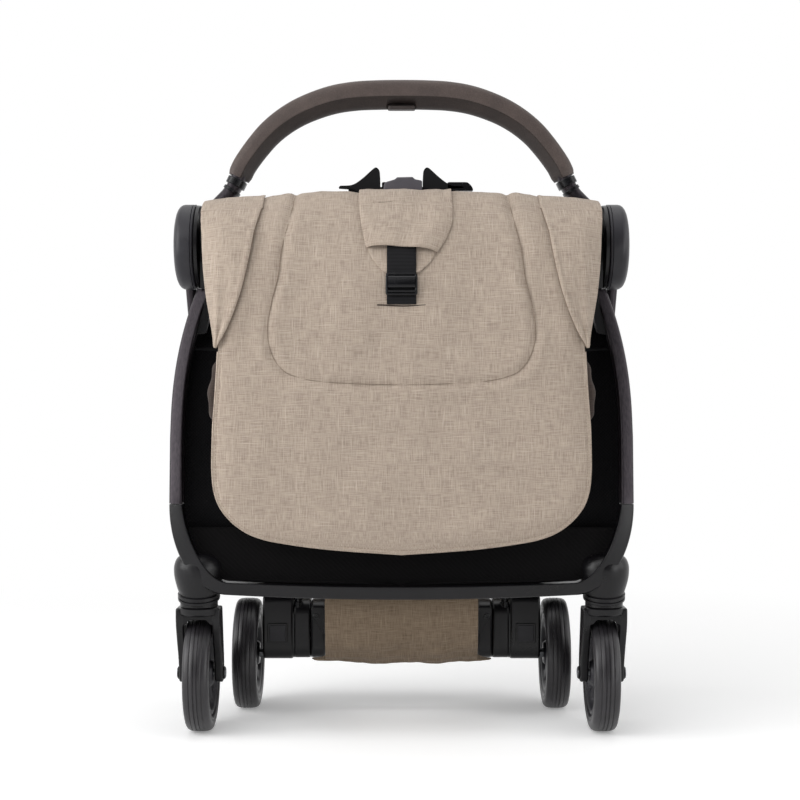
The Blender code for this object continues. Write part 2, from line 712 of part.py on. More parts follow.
def make_rear_frame():
    """The rear legs, their shoes over the wheels, the axle blocks, the axle and wheels."""
    centre = (REAR_Y, REAR_RADIUS)
    cap_x = REAR_WHEEL_X + TYRE_WIDTH / 2 + GAP
    axle = [
        (-cap_x - 0.002, 0.0012),
        (-cap_x - 0.002, 0.0075),
        (-cap_x, 0.0085),
        (-cap_x, REAR_AXLE_RADIUS),
        (cap_x, REAR_AXLE_RADIUS),
        (cap_x, 0.0085),
        (cap_x + 0.002, 0.0075),
        (cap_x + 0.002, 0.0012),
    ]
    solid("rear_axle", *turned(axle, centre, "X", 16), "steel", rear)
    bore = REAR_AXLE_RADIUS + RUN_FIT
    rear_face = BLOCK_FRONT + BLOCK_DEPTH
    for side_name, side in SIDES:
        path = []
        top_z = HUB_Z - HUB_RADIUS + 0.0003
        for i in range(6):
            f = i / 5
            path.append(
                (
                    side * (REAR_LEG_TOP_X + (REAR_LEG_FOOT_X - REAR_LEG_TOP_X) * f),
                    REAR_LEG_TOP_Y + (REAR_LEG_FOOT_Y - REAR_LEG_TOP_Y) * f,
                    top_z + (SHOE_TOP_Z + GAP - top_z) * f,
                )
            )
        rings = sweep(path, oval(REAR_LEG_WIDTH, REAR_LEG_DEPTH, 2.6, 12))
        for ring, z in ((rings[0], top_z), (rings[-1], SHOE_TOP_Z + GAP)):
            for k, (px, py, _) in enumerate(ring):
                ring[k] = (px, py, z)
        solid(f"rear_leg_{side_name}", *loft(rings), "anodised", rear)

        outline = [
            (side * 0.124, BLOCK_TOP_Z + GAP),
            (side * 0.216, BLOCK_TOP_Z + 0.004),
            (side * 0.218, SHOE_TOP_Z - 0.003),
            (side * 0.215, SHOE_TOP_Z),
            (side * 0.196, SHOE_TOP_Z),
            (side * 0.170, SHOE_TOP_Z - 0.010),
            (side * 0.126, SHOE_TOP_Z - 0.020),
        ]
        solid(
            f"rear_leg_shoe_{side_name}",
            *prism(outline, BLOCK_FRONT + 0.002, rear_face - 0.010, "Y"),
            "moulded",
            rear,
        )
        block_outline = [
            (BLOCK_FRONT, BLOCK_TOP_Z - 0.003),
            (BLOCK_FRONT, REAR_RADIUS + 0.004),
            (BLOCK_FRONT + 0.010, REAR_RADIUS - 0.006),
            *arc(REAR_Y, REAR_RADIUS, 0.0095, 240, 300, 3),
            (rear_face - 0.008, REAR_RADIUS - 0.006),
            (rear_face, REAR_RADIUS + 0.004),
            (rear_face, BLOCK_TOP_Z - 0.012),
            (rear_face - 0.008, BLOCK_TOP_Z),
            (BLOCK_FRONT + 0.003, BLOCK_TOP_Z),
        ]
        block = solid(
            f"axle_block_{side_name}",
            *prism(block_outline, side * BLOCK_INNER_X, side * BLOCK_OUTER_X),
            "moulded",
            rear,
        )
        reach = (side * (BLOCK_INNER_X - 0.001), side * (BLOCK_OUTER_X + 0.001))
        boolean(block, *rod(*reach, bore, centre, "X"))

        pedal_outline = [
            (BLOCK_FRONT + 0.001, BLOCK_TOP_Z - 0.006),
            (BLOCK_FRONT + 0.001, REAR_RADIUS + 0.006),
            (BLOCK_FRONT + 0.011, REAR_RADIUS - 0.005),
            *arc(REAR_Y, REAR_RADIUS, 0.0095, 240, 300, 3),
            (REAR_Y + PEDAL_REACH, REAR_RADIUS + 0.026),
            (REAR_Y + PEDAL_REACH, REAR_RADIUS + 0.034),
            (rear_face - 0.006, BLOCK_TOP_Z - 0.010),
            (BLOCK_FRONT + 0.016, BLOCK_TOP_Z - 0.002),
        ]
        outer = BLOCK_INNER_X - GAP
        pedal = solid(
            f"brake_pedal_{side_name}",
            *prism(pedal_outline, side * (outer - PEDAL_WIDTH), side * outer),
            "moulded",
            brakes[side],
        )
        reach = (side * (outer - PEDAL_WIDTH - 0.001), side * (outer + 0.001))
        boolean(pedal, *rod(*reach, bore, centre, "X"))
        make_wheel(
            f"rear_{side_name}",
            side,
            side * REAR_WHEEL_X,
            REAR_Y,
            REAR_RADIUS,
            REAR_AXLE_RADIUS,
            rear_wheels[side],
        )


# The handle's middle line from the top of the arch to its right foot: shares of its half width
# and of its rise above the feet
ARCH_SHAPE = [
    (0.0000, 1.0000),
    (0.1267, 0.9977),
    (0.2533, 0.9869),
    (0.3630, 0.9584),
    (0.4594, 0.9106),
    (0.5603, 0.8396),
    (0.6529, 0.7440),
    (0.7138, 0.6592),
    (0.7625, 0.5705),
    (0.8088, 0.4742),
    (0.8453, 0.3855),
    (0.8736, 0.2876),
    (0.8989, 0.2082),
    (0.9281, 0.1442),
    (0.9598, 0.0925),
    (0.9866, 0.0463),
    (1.0000, 0.0000),
]
ARCH_RISE = ARCH_TOP_Z - ARCH_FOOT_Z
ARCH_LINE = [(PUSH_X * a, ARCH_FOOT_Z + ARCH_RISE * b) for a, b in ARCH_SHAPE]


def make_push_bar():
    """The two straight tubes in their sleeves, the arch over them, its grip and the button."""
    section = oval(PUSH_WIDTH, PUSH_DEPTH, 3.0, 12)
    for side_name, side in SIDES:
        outline = [(side * PUSH_X + a, PUSH_Y + b) for a, b in section]
        solid(
            f"push_tube_{side_name}",
            *prism(outline, PUSH_BOTTOM_Z, ARCH_FOOT_Z - GAP, "Z"),
            "anodised",
            push,
        )
    path = [(-x, PUSH_Y, z) for x, z in ARCH_LINE[:0:-1]] + [(x, PUSH_Y, z) for x, z in ARCH_LINE]
    rings = sweep(path, oval(ARCH_THICK, ARCH_DEPTH, 2.4, 12))
    for ring in (rings[0], rings[-1]):
        for k, (px, py, _) in enumerate(ring):
            ring[k] = (px, py, ARCH_FOOT_Z)
    solid("handle_arch", *loft(rings), "anodised", push)

    outer = []
    for x, _, _ in path:
        grow = 2 * (GRIP_WALL + GRIP_SWELL * max(0.0, 1 - (x / PUSH_X) ** 2))
        outer.append(oval(ARCH_THICK + grow, ARCH_DEPTH + grow, 2.4, 12))
    inner = oval(ARCH_THICK + 2 * GAP, ARCH_DEPTH + 2 * GAP, 2.4, 12)
    covered = slice(GRIP_START, 33 - GRIP_START)
    out_rings, in_rings = sweep(path, outer)[covered], sweep(path, inner)[covered]
    grip = solid("handle_grip", *loft(out_rings + in_rings[::-1], loop=True), "grip", push)
    floor = ARCH_TOP_Z - ARCH_THICK / 2 - GRIP_WALL - GRIP_SWELL
    ceiling = ARCH_TOP_Z - ARCH_THICK / 2 - 0.0010
    x, y = BUTTON_LENGTH / 2 + GAP, BUTTON_WIDTH / 2 + GAP
    boolean(grip, *box((-x, PUSH_Y - y, floor - 0.01), (x, PUSH_Y + y, ceiling)))
    top = ceiling - GAP - BUTTON_TRAVEL
    x, y = BUTTON_LENGTH / 2, BUTTON_WIDTH / 2
    low, high = (-x, PUSH_Y - y, top - BUTTON_HEIGHT), (x, PUSH_Y + y, top)
    solid("fold_button", *box(low, high), "moulded", button)


BACK_PATH = [
    (0.0019, 0.5517),
    (-0.0034, 0.5621),
    (-0.0143, 0.5680),
    (-0.0290, 0.5650),
    (-0.049, 0.5505),
    (-0.069, 0.525),
    (-0.085, 0.490),
    (-0.094, 0.450),
    (-0.0965, 0.400),
    (-0.0968, 0.345),
    (-0.0968, 0.290),
    (-0.0966, 0.255),
    (-0.0962, 0.232),
    (-0.0958, 0.2145),
    (-0.0955, 0.2025),
    (-0.0955, 0.1955),
    (-0.0955, BACK_BOTTOM_Z),
]
BACK_WIDTHS = [1, 1, 1, 1, 1, 1, 1, 1, 1, 1, 1, 0.985, 0.925, 0.815, 0.62, 0.36, 0.16]


def panel_out(n):
    """The way out of the back panel's face at a row."""
    y0, z0 = BACK_PATH[max(n - 1, 0)]
    y1, z1 = BACK_PATH[min(n + 1, len(BACK_PATH) - 1)]
    size = math.hypot(y1 - y0, z1 - z0)
    return (z1 - z0) / size, -(y1 - y0) / size


def face(z, off):
    """A point (y, z), off in front of the panel's middle where that lies at height z."""
    n = max(i for i in range(3, len(BACK_PATH) - 1) if BACK_PATH[i][1] >= z or i == 3)
    (y0, z0), (y1, z1) = BACK_PATH[n], BACK_PATH[n + 1]
    f = (z0 - z) / (z0 - z1)
    (ay, az), (by, bz) = panel_out(n), panel_out(n + 1)
    out_y, out_z = ay + (by - ay) * f, az + (bz - az) * f
    return y0 + (y1 - y0) * f + out_y * off, z + out_z * off


def cushion(rows, thickness, columns=14):
    """A crowned pad. Each row is (y, z, out y, out z, half width); its edges are thin."""
    rings = []
    for n, (y, z, out_y, out_z, half) in enumerate(rows):
        end = min(1.0, 0.35 + 0.65 * min(n, len(rows) - 1 - n) / 2)
        front_side, back_side = [], []
        for j in range(columns + 1):
            u = -1 + 2 * j / columns
            crown = thickness / 2 * end * (0.3 + 0.7 * (1 - abs(u) ** 4))
            front_side.append((half * u, y + out_y * crown, z + out_z * crown))
            back_side.append((half * u, y - out_y * crown, z - out_z * crown))
        rings.append(front_side + back_side[::-1])
    return loft(rings)


def make_backrest():
    """The folded backrest: board, rear panel, inner pad, side wings and the recline strap."""
    rows = []
    for n, (y, z) in enumerate(BACK_PATH):
        half = BACK_TOP_HALF_WIDTH if z > 0.42 else BACK_HALF_WIDTH
        rows.append((y, z, *panel_out(n), half * BACK_WIDTHS[n]))
    solid("backrest_panel", *cushion(rows, BACK_THICK), "linen", back)

    half = EYE_OUTER_X - 0.004
    top, bottom = 0.430, BACK_BOTTOM_Z + 0.022
    board_back = BACK_BOARD_Y + BOARD_THICK
    outline = [(-half, top), (-half, bottom + 0.03), (-half + 0.03, bottom)]
    outline += [(-x, z) for x, z in outline[::-1]]
    board = solid("backrest_board", *prism(outline, BACK_BOARD_Y, board_back, "Y"), "moulded", back)
    for side in (-1, 1):
        arm = hull(
            [
                (BACK_PIVOT_Y, BACK_PIVOT_Z, 0.009),
                (BACK_BOARD_Y + 0.0055, top - 0.010, 0.005),
            ],
            12,
        )
        boolean(board, *prism(arm, side * EYE_INNER_X, side * EYE_OUTER_X), "UNION")
    for side in (-1, 1):
        hole = PIN_RADIUS + RUN_FIT
        reach = (side * (EYE_INNER_X - 0.001), side * (EYE_OUTER_X + 0.001))
        boolean(board, *rod(*reach, hole, (BACK_PIVOT_Y, BACK_PIVOT_Z), "X", 12))

    y = board_back + GAP + BACK_PAD_THICK / 2
    rows = []
    for n in range(9):
        z = top - 0.022 - (top - bottom - 0.030) * n / 8
        narrow = 0.05 * max(0, n - 6) / 2
        rows.append((y, z, -1, 0, half - 0.014 - narrow))
    solid("backrest_pad", *cushion(rows, BACK_PAD_THICK, 10), "liner", back)

    wing = [
        (0.566, 0.147, 0.2140),
        (0.549, 0.150, 0.2136),
        (0.528, 0.1526, 0.2100),
        (0.490, 0.158, 0.2060),
        (0.458, 0.1645, 0.1995),
        (0.430, 0.1745, 0.1930),
        (0.405, 0.1840, 0.1880),
    ]
    front_face = BACK_THICK / 2 + 0.0008
    for side_name, side in SIDES:
        rings = []
        for z, inner, outer in wing:
            near, far = [], []
            for j in range(5):
                x = inner + (outer - inner) * j / 4
                u = min(1.0, x / BACK_TOP_HALF_WIDTH)
                y, h = face(z, BACK_THICK / 2 * (1 - 0.7 * u**4) + 0.0014)
                y += max(0.0, x - BACK_HALF_WIDTH) * 0.5
                near.append((side * x, y - WING_THICK, h))
                far.append((side * x, y, h))
            rings.append(near + far[::-1])
        solid(f"side_wing_{side_name}", *loft(rings), "linen", back)

    rings = []
    for z, half in (
        (0.5495, 0.052),
        (0.538, 0.0505),
        (0.520, 0.0455),
        (0.503, 0.0385),
        (0.493, 0.0345),
        (0.485, 0.0275),
        (0.4795, 0.0190),
    ):
        y, h = face(z, front_face + 0.0007)
        near_y, near_z = face(z, front_face + FLAP_THICK)
        near = [(half * u, near_y, near_z) for u in (-1, -0.5, 0, 0.5, 1)]
        rings.append(near + [(half * u, y, h) for u in (1, 0.5, 0, -0.5, -1)])
    solid("strap_flap", *loft(rings), "linen", back)

    over_flap = front_face + FLAP_THICK + GAP
    rings = []
    for z in (0.503, 0.491, 0.479, 0.472, 0.461, STRAP_BOTTOM_Z):
        off = over_flap if z > 0.475 else front_face
        y, h = face(z, off)
        near_y, near_z = face(z, off + STRAP_THICK)
        ring = [(-STRAP_HALF_WIDTH, near_y, near_z), (STRAP_HALF_WIDTH, near_y, near_z)]
        rings.append(ring + [(STRAP_HALF_WIDTH, y, h), (-STRAP_HALF_WIDTH, y, h)])
    solid("recline_strap", *loft(rings), "webbing", back)

    rings = []
    for f in (0, 0.5, 1):
        z = STRAP_BOTTOM_Z + 0.0065 + SLIDER_HEIGHT * f
        off = over_flap + STRAP_THICK + 0.0008
        y, h = face(z, off)
        near_y, near_z = face(z, off + SLIDER_THICK)
        half = SLIDER_HALF_WIDTH
        rings.append([(-half, near_y, near_z), (half, near_y, near_z), (half, y, h), (-half, y, h)])
    solid("strap_slider", *loft(rings), "moulded", slide)


def make_seat():
    """The folded seat: its board with two pivot ears, its pad and the leg rest."""
    rear_y = SEAT_BOARD_Y + SEAT_BOARD_THICK
    low = (-SEAT_HALF_WIDTH, SEAT_BOARD_Y, SEAT_BOTTOM_Z)
    high = (SEAT_HALF_WIDTH, rear_y, SEAT_TOP_Z)
    board = solid("seat_board", *box(low, high), "moulded", seat)
    hole = PIN_RADIUS + RUN_FIT
    for side in (-1, 1):
        ear = hull(
            [
                (SEAT_PIVOT_Y, SEAT_PIVOT_Z, 0.009),
                (rear_y - 0.0018, SEAT_PIVOT_Z, 0.0018),
                (rear_y - 0.0018, SEAT_PIVOT_Z - 0.036, 0.0018),
            ],
            12,
        )
        reach = (side * (SEAT_HALF_WIDTH - 0.004), side * EYE_OUTER_X)
        boolean(board, *prism(ear, *reach), "UNION")
    for side in (-1, 1):
        reach = (side * (BRACKET_INNER_X - PIN_LENGTH - GAP), side * (EYE_OUTER_X + 0.001))
        boolean(board, *rod(*reach, hole, (SEAT_PIVOT_Y, SEAT_PIVOT_Z), "X", 12))

    y = SEAT_PAD_Y + SEAT_PAD_THICK / 2
    rows = []
    for n in range(11):
        z = SEAT_TOP_Z - 0.003 - (SEAT_TOP_Z - SEAT_BOTTOM_Z - 0.006) * n / 10
        rows.append((y, z, -1, 0, SEAT_HALF_WIDTH - 0.005))
    solid("seat_pad", *cushion(rows, SEAT_PAD_THICK, 12), "liner", seat)

    top = SEAT_BOTTOM_Z - GAP
    rows = []
    for n in range(8):
        f = n / 7
        narrow = 0.022 * max(0.0, f - 0.7) / 0.3
        z = top - LEG_REST_LENGTH * f
        rows.append((rear_y - LEG_REST_THICK / 2, z, -1, 0, LEG_REST_HALF_WIDTH - narrow))
    solid("leg_rest_pad", *cushion(rows, LEG_REST_THICK, 10), "linen", leg_rest)


def bow_plane(angle, x, reach, off=0.0):
    """A point of a bow: reach from the hub line at an angle behind straight down."""
    c, s = math.cos(angle), math.sin(angle)
    return x, reach * s + off * c, HUB_Z - reach * c + off * s


def bow_rings(x_side, angle, reach, thick, deep):
    """A strip bent to a U, from one hub, round two corners, to the other hub."""
    start = CROSS_RADIUS + GAP
    line = [(x_side, start), (x_side, reach - BOW_CORNER)]
    mid = reach - BOW_CORNER
    for x, r in arc(x_side - BOW_CORNER, mid, BOW_CORNER, 0, 90, 7)[1:]:
        line.append((x, r))
    line = line[:1] + [(x_side, reach * 0.5)] + line[1:]
    full = line + [(-x, r) for x, r in line[::-1]]
    rings = []
    for i, (x, r) in enumerate(full):
        x0, r0 = full[max(i - 1, 0)]
        x1, r1 = full[min(i + 1, len(full) - 1)]
        size = math.hypot(x1 - x0, r1 - r0)
        nx, nr = (r1 - r0) / size, -(x1 - x0) / size
        ring = []
        for a, b in ((-1, -1), (1, -1), (1, 1), (-1, 1)):
            px, pr = x + nx * a * thick / 2, r + nr * a * thick / 2
            ring.append(bow_plane(angle, px, pr, b * deep / 2))
        rings.append(ring)
    return rings


def make_canopy():
    """Two bows folded down behind the seat, with the cloth packed between them."""
    rings = bow_rings(REAR_BOW_X, REAR_BOW_ANGLE, BOW_REACH, BOW_THICK, BOW_DEPTH)
    solid("canopy_rear_bow", *loft(rings), "moulded", canopy)
    rings = bow_rings(FRONT_BOW_X, FRONT_BOW_ANGLE, BOW_REACH + 0.006, BOW_THICK, BOW_DEPTH)
    solid("canopy_front_bow", *loft(rings), "moulded", visor)
    angle = (REAR_BOW_ANGLE + FRONT_BOW_ANGLE) / 2
    half = REAR_BOW_X - BOW_THICK / 2 - 0.0004
    reach = BOW_REACH - 0.002
    corner = BOW_CORNER
    edge = [(half, 0.210)]
    edge += arc(half - corner, reach - corner, corner, 0, 90, 7)
    rings = []
    for off in (-CANOPY_THICK / 2, CANOPY_THICK / 2):
        ring = [bow_plane(angle, x, r, off) for x, r in edge]
        ring += [bow_plane(angle, -x, r, off) for x, r in edge[::-1]]
        rings.append(ring)
    solid("canopy_cloth", *loft(rings), "linen", canopy)


def make_basket():
    """A cloth sling that hangs slack between the foot bar and the axle blocks."""
    front_top = (BAR_REAR + GAP, BAR_BOTTOM_Z + 0.010)
    rear_top = (BLOCK_FRONT - GAP, BLOCK_TOP_Z - 0.006)
    count = 12
    columns = 10
    rings = []
    for c in range(columns + 1):
        u = -1 + 2 * c / columns
        x = BASKET_HALF_WIDTH * u
        lift = BASKET_DROP * abs(u) ** 5
        outer, inner = [], []
        for i in range(count + 1):
            f = i / count
            y = front_top[0] + (rear_top[0] - front_top[0]) * f
            straight = front_top[1] + (rear_top[1] - front_top[1]) * f
            sag = math.sin(math.pi * f) ** 0.62 if 0 < f < 1 else 0.0
            z = straight + (BASKET_BOTTOM_Z + lift - straight) * sag
            outer.append((y, z))
            side = math.cos(math.pi * f)
            inner.append((y + BASKET_THICK * side, z + BASKET_THICK * (sag * 0.8 + 0.1)))
        rings.append([(x, y, z) for y, z in outer] + [(x, y, z) for y, z in inner[::-1]])
    solid("basket", *loft(rings), "linen", front)


def make_harness():
    """The harness webbing behind the roll of the seat, with two tabs and two fittings."""
    y = CROSS_RADIUS + GAP
    base = HARNESS_TOP_Z - 0.014
    edge = [
        (0.0225, base + EAR_HEIGHT - 0.003),
        (0.0270, base + EAR_HEIGHT),
        (0.0300, base + EAR_HEIGHT - 0.002),
        (0.0420, base + 0.0230),
        (0.0520, base + 0.0150),
        (0.0668, base + 0.0128),
        (0.0668, base),
        (HARNESS_HALF_WIDTH, base - 0.004),
        (HARNESS_HALF_WIDTH, HUB_Z - 0.006),
    ]
    outline = [(0.0225, HARNESS_TOP_Z - GAP)] + edge
    outline = [(-x, z) for x, z in outline[::-1]] + outline
    solid("harness_web", *prism(outline, y, y + WEB_THICK, "Y"), "webbing", root)
    base = HARNESS_TOP_Z + GAP
    outline = [
        (-0.0195, base),
        (0.0215, base),
        (0.0215, base + 0.0035),
        (0.0125, base + 0.0068),
        (-0.0055, base + 0.0068),
        (-0.0190, base + 0.0010),
    ]
    solid("harness_buckle", *prism(outline, y - 0.004, y + 0.0055, "Y"), "grey", root)
    low = (0.0672, y, HARNESS_TOP_Z - 0.014)
    high = (0.0790, y + 0.008, HARNESS_TOP_Z - 0.001)
    solid("strap_adjuster", *box(low, high), "moulded", root)


make_hubs()
make_front_frame()
make_casters()
make_rear_frame()
make_push_bar()
make_backrest()
make_seat()
make_canopy()
make_basket()
make_harness()
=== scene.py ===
import math

import bpy
import numpy as np
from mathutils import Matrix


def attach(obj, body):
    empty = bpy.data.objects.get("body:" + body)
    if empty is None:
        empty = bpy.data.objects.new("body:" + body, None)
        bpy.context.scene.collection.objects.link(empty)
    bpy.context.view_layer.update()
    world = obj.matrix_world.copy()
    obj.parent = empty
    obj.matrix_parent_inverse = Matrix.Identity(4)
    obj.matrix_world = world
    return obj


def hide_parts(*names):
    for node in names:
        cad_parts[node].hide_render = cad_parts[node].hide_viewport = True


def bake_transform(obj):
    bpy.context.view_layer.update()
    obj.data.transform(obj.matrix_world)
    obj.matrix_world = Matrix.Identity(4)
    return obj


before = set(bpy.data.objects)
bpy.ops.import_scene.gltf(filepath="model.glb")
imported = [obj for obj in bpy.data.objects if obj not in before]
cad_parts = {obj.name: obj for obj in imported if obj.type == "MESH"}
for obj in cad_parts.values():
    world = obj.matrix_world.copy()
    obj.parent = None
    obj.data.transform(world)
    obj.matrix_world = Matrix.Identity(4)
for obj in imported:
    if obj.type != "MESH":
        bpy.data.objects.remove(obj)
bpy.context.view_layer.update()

# The hub line: every depth in the tables below is counted from it
hub = dict(y=-0.0256, z=0.516)
sides = (("left", -1), ("right", 1))


def share(value):
    return np.clip(value, 0, 1)


def bell(value, width):
    # exp of minus (value / width) squared
    return np.exp(-((value / width) ** 2))


def smoothLine(points, count, bunch=1.0):
    # Cubic through the points (Hermite, slopes from neighbours), count samples even in length
    p = np.asarray(points, float)
    step = np.linalg.norm(np.diff(p, axis=0), axis=1)
    p, step = p[np.concatenate([[True], step > 1e-9])], step[step > 1e-9]
    at = np.concatenate([[0], np.cumsum(step)])
    slope = np.gradient(p, at, axis=0)
    t = at[-1] * (1 - (1 - np.linspace(0, 1, count)) ** bunch)
    i = np.clip(np.searchsorted(at, t, side="right") - 1, 0, len(step) - 1)
    h = step[i][:, None]
    f = ((t - at[i]) / step[i])[:, None]
    a, b = (1 + 2 * f) * (1 - f) ** 2, f * (1 - f) ** 2
    c, d = f * f * (3 - 2 * f), f * f * (f - 1)
    return a * p[i] + b * h * slope[i] + c * p[i + 1] + d * h * slope[i + 1]


def rounded(points, radius, count=5):
    # Each corner of a closed outline becomes a parabola between points a radius either side
    p = np.asarray(points, float)
    back, ahead = np.roll(p, 1, axis=0) - p, np.roll(p, -1, axis=0) - p
    lb, la = np.linalg.norm(back, axis=1), np.linalg.norm(ahead, axis=1)
    r = np.broadcast_to(np.asarray(radius, float), (len(p),))
    a = p + back * (np.minimum(r, lb * 0.48) / lb)[:, None]
    b = p + ahead * (np.minimum(r, la * 0.48) / la)[:, None]
    t = np.linspace(0, 1, count)[None, :, None]
    arc = (1 - t) ** 2 * a[:, None] + 2 * t * (1 - t) * p[:, None] + t * t * b[:, None]
    return arc.reshape(-1, p.shape[1])


def rectangle(x0, x1, y0, y1, radius, count=5):
    return rounded([(x0, y0), (x1, y0), (x1, y1), (x0, y1)], radius, count)


def oval(width, depth, power=2.4, count=32):
    # |x|^n + |y|^n = 1 scaled to the section's two widths
    a = np.linspace(0, math.tau, count, endpoint=False) + 0.5 * math.tau / count
    c, s = np.cos(a), np.sin(a)
    across = width / 2 * np.sign(c) * np.abs(c) ** (2 / power)
    return np.stack([across, depth / 2 * np.sign(s) * np.abs(s) ** (2 / power)], 1)


def squareTo(line):
    # Unit vectors across a flat line, to its right as it runs
    along = np.gradient(line, axis=0)
    return np.stack([along[:, 1], -along[:, 0]], 1) / np.linalg.norm(along, axis=1, keepdims=True)


def sweep(path, section, up=(0, 1, 0)):
    # Rings of a section carried along a path: across lies square to the path and to up
    path = np.asarray(path, float)
    along = np.gradient(path, axis=0)
    along /= np.linalg.norm(along, axis=1, keepdims=True)
    side = np.cross(along, np.asarray(up, float))
    side /= np.linalg.norm(side, axis=1, keepdims=True)
    high = np.cross(side, along)
    section = np.asarray(section, float)
    return path[:, None] + section[..., :1] * side[:, None] + section[..., 1:2] * high[:, None]


def turn(profile, centre, axis, steps=96, ribs=None):
    # (along, radius) pairs carried round an axis. ribs(angle) shifts the flagged rows along it
    profile = np.asarray(profile, float)
    a = np.linspace(0, math.tau, steps, endpoint=False) + 0.5 * math.tau / steps
    along = np.repeat(profile[:, :1], steps, 1)
    if ribs is not None:
        along = along + profile[:, 2:3] * ribs(a)[None]
    u, v = profile[:, 1:2] * np.cos(a), profile[:, 1:2] * np.sin(a)
    if axis == "X":
        return np.stack([along, centre[0] + u, centre[1] + v], -1)
    if axis == "Y":
        return np.stack([centre[0] + u, along, centre[1] + v], -1)
    return np.stack([centre[0] + u, centre[1] + v, along], -1)


def slab(outline, low, high, axis="X"):
    # An outline pushed along an axis between two planes
    o = np.asarray(outline, float)
    rings = np.repeat(o[None], 2, 0)
    flat = np.broadcast_to(np.sort([low, high])[:, None, None], (2, len(o), 1))
    parts = {"X": (flat, rings), "Z": (rings, flat), "Y": (rings[..., :1], flat, rings[..., 1:])}
    return np.concatenate(parts[axis], -1)


def gridFaces(rows, cols, wrapRows=False, wrapCols=False):
    r = np.arange(rows if wrapRows else rows - 1)[:, None]
    c = np.arange(cols if wrapCols else cols - 1)[None]
    r2, c2 = (r + 1) % rows, (c + 1) % cols
    return np.stack([r * cols + c, r * cols + c2, r2 * cols + c2, r2 * cols + c], -1).reshape(-1, 4)


def meshPiece(name, points, faces, look, body, weave=None, caps=(), sharp=40, stands=()):
    points = np.asarray(points, float).reshape(-1, 3)
    mesh = bpy.data.meshes.new(name)
    mesh.from_pydata(points.tolist(), [], faces.tolist() + [list(cap) for cap in caps])
    # The signed volume of its triangles tells whether a closed shape faces out
    mesh.calc_loop_triangles()
    tri = np.empty(len(mesh.loop_triangles) * 3, np.int32)
    mesh.loop_triangles.foreach_get("vertices", tri)
    a, b, c = points[tri.reshape(-1, 3)].transpose(1, 0, 2)
    if np.einsum("ij,ij->i", a, np.cross(b, c)).sum() < 0:
        mesh.flip_normals()
    if weave is not None:
        layer = mesh.uv_layers.new(name="weave")
        corner = np.empty(len(mesh.loops), np.int32)
        mesh.loops.foreach_get("vertex_index", corner)
        layer.data.foreach_set("uv", np.asarray(weave, float).reshape(-1, 2)[corner].ravel())
    mesh.shade_smooth()
    mesh.set_sharp_from_angle(angle=math.radians(sharp))
    mesh.materials.append(looks[look])
    piece = bpy.data.objects.new(name, mesh)
    bpy.context.collection.objects.link(piece)
    # Given a pair of bodies, with a start and an end point, the cloth is left unparented, its placing baked
    # into the mesh
    if isinstance(body, tuple):
        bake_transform(piece)
    else:
        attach(piece, body)
    if stands:
        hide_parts(*stands)
    return piece


def ringPiece(name, rings, look, body, closed=False, weave=None, **more):
    # Rings of one size skinned to a solid. closed joins the last ring to the first
    rows, cols = rings.shape[:2]
    caps = () if closed else (range(cols)[::-1], range((rows - 1) * cols, rows * cols))
    faces = gridFaces(rows, cols, closed, True)
    return meshPiece(name, rings, faces, look, body, weave=weave, caps=caps, **more)


def bevelled(piece, width, segments=3, angle=35):
    edge = piece.modifiers.new("Bevel", "BEVEL")
    edge.width = width
    edge.segments = segments
    edge.limit_method = "ANGLE"
    edge.angle_limit = math.radians(angle)
    edge.harden_normals = False
    return piece


def slabPiece(name, outline, low, high, look, body, axis="X", soften=0.001, **more):
    piece = ringPiece(name, slab(outline, low, high, axis), look, body, sharp=30, **more)
    return bevelled(piece, soften)


def lengthsAlong(grid):
    # Each grid point's distance along its row and along its column: the cloth's own flat sizes
    across = np.linalg.norm(np.diff(grid, axis=1), axis=-1)
    down = np.linalg.norm(np.diff(grid, axis=0), axis=-1)
    u = np.concatenate([np.zeros((len(grid), 1)), np.cumsum(across, 1)], 1)
    v = np.concatenate([np.zeros((1, grid.shape[1])), np.cumsum(down, 0)], 0)
    u -= u[:, grid.shape[1] // 2][:, None]
    return np.stack([u, np.repeat(v.mean(1, keepdims=True), grid.shape[1], 1)], -1)


def rimOf(rows, cols):
    # The numbers of a grid's border points, once round
    index = np.arange(rows * cols).reshape(rows, cols)
    return np.concatenate([index[0, :-1], index[:-1, -1], index[-1, :0:-1], index[:0:-1, 0]])


def twoSkins(name, front, back, weave, look, body, **more):
    # Two grids of one size, closed by a band round their rims
    rows, cols = front.shape[:2]
    size = rows * cols
    rim, faces = rimOf(rows, cols), gridFaces(rows, cols)
    after = np.roll(rim, -1)
    band = np.stack([rim, rim + size, after + size, after], -1)
    return meshPiece(name, np.concatenate([front.reshape(-1, 3), back.reshape(-1, 3)]),
        np.concatenate([faces, faces[:, ::-1] + size, band]), look, body,
        weave=np.concatenate([weave.reshape(-1, 2)] * 2), **more)


def clothPiece(name, grid, thick, look, body, held=None, restsOn=(), roll=0.0, **more):
    # A sheet with two skins a thickness apart. roll thins it smoothly towards its four edges
    rows, cols = grid.shape[:2]
    half = np.full((rows, cols, 1), thick / 2)
    if roll:
        r, c = np.arange(rows)[:, None], np.arange(cols)[None]
        inset = np.minimum(np.minimum(r, rows - 1 - r), np.minimum(c, cols - 1 - c))
        half = half * (0.45 + 0.55 * np.sqrt(share(inset / roll)))[..., None]
    normal = np.cross(np.gradient(grid, axis=1), np.gradient(grid, axis=0))
    normal /= np.maximum(np.linalg.norm(normal, axis=-1, keepdims=True), 1e-12)
    piece = twoSkins(name, grid + normal * half, grid - normal * half, lengthsAlong(grid), look, body,
        **more)
    return piece


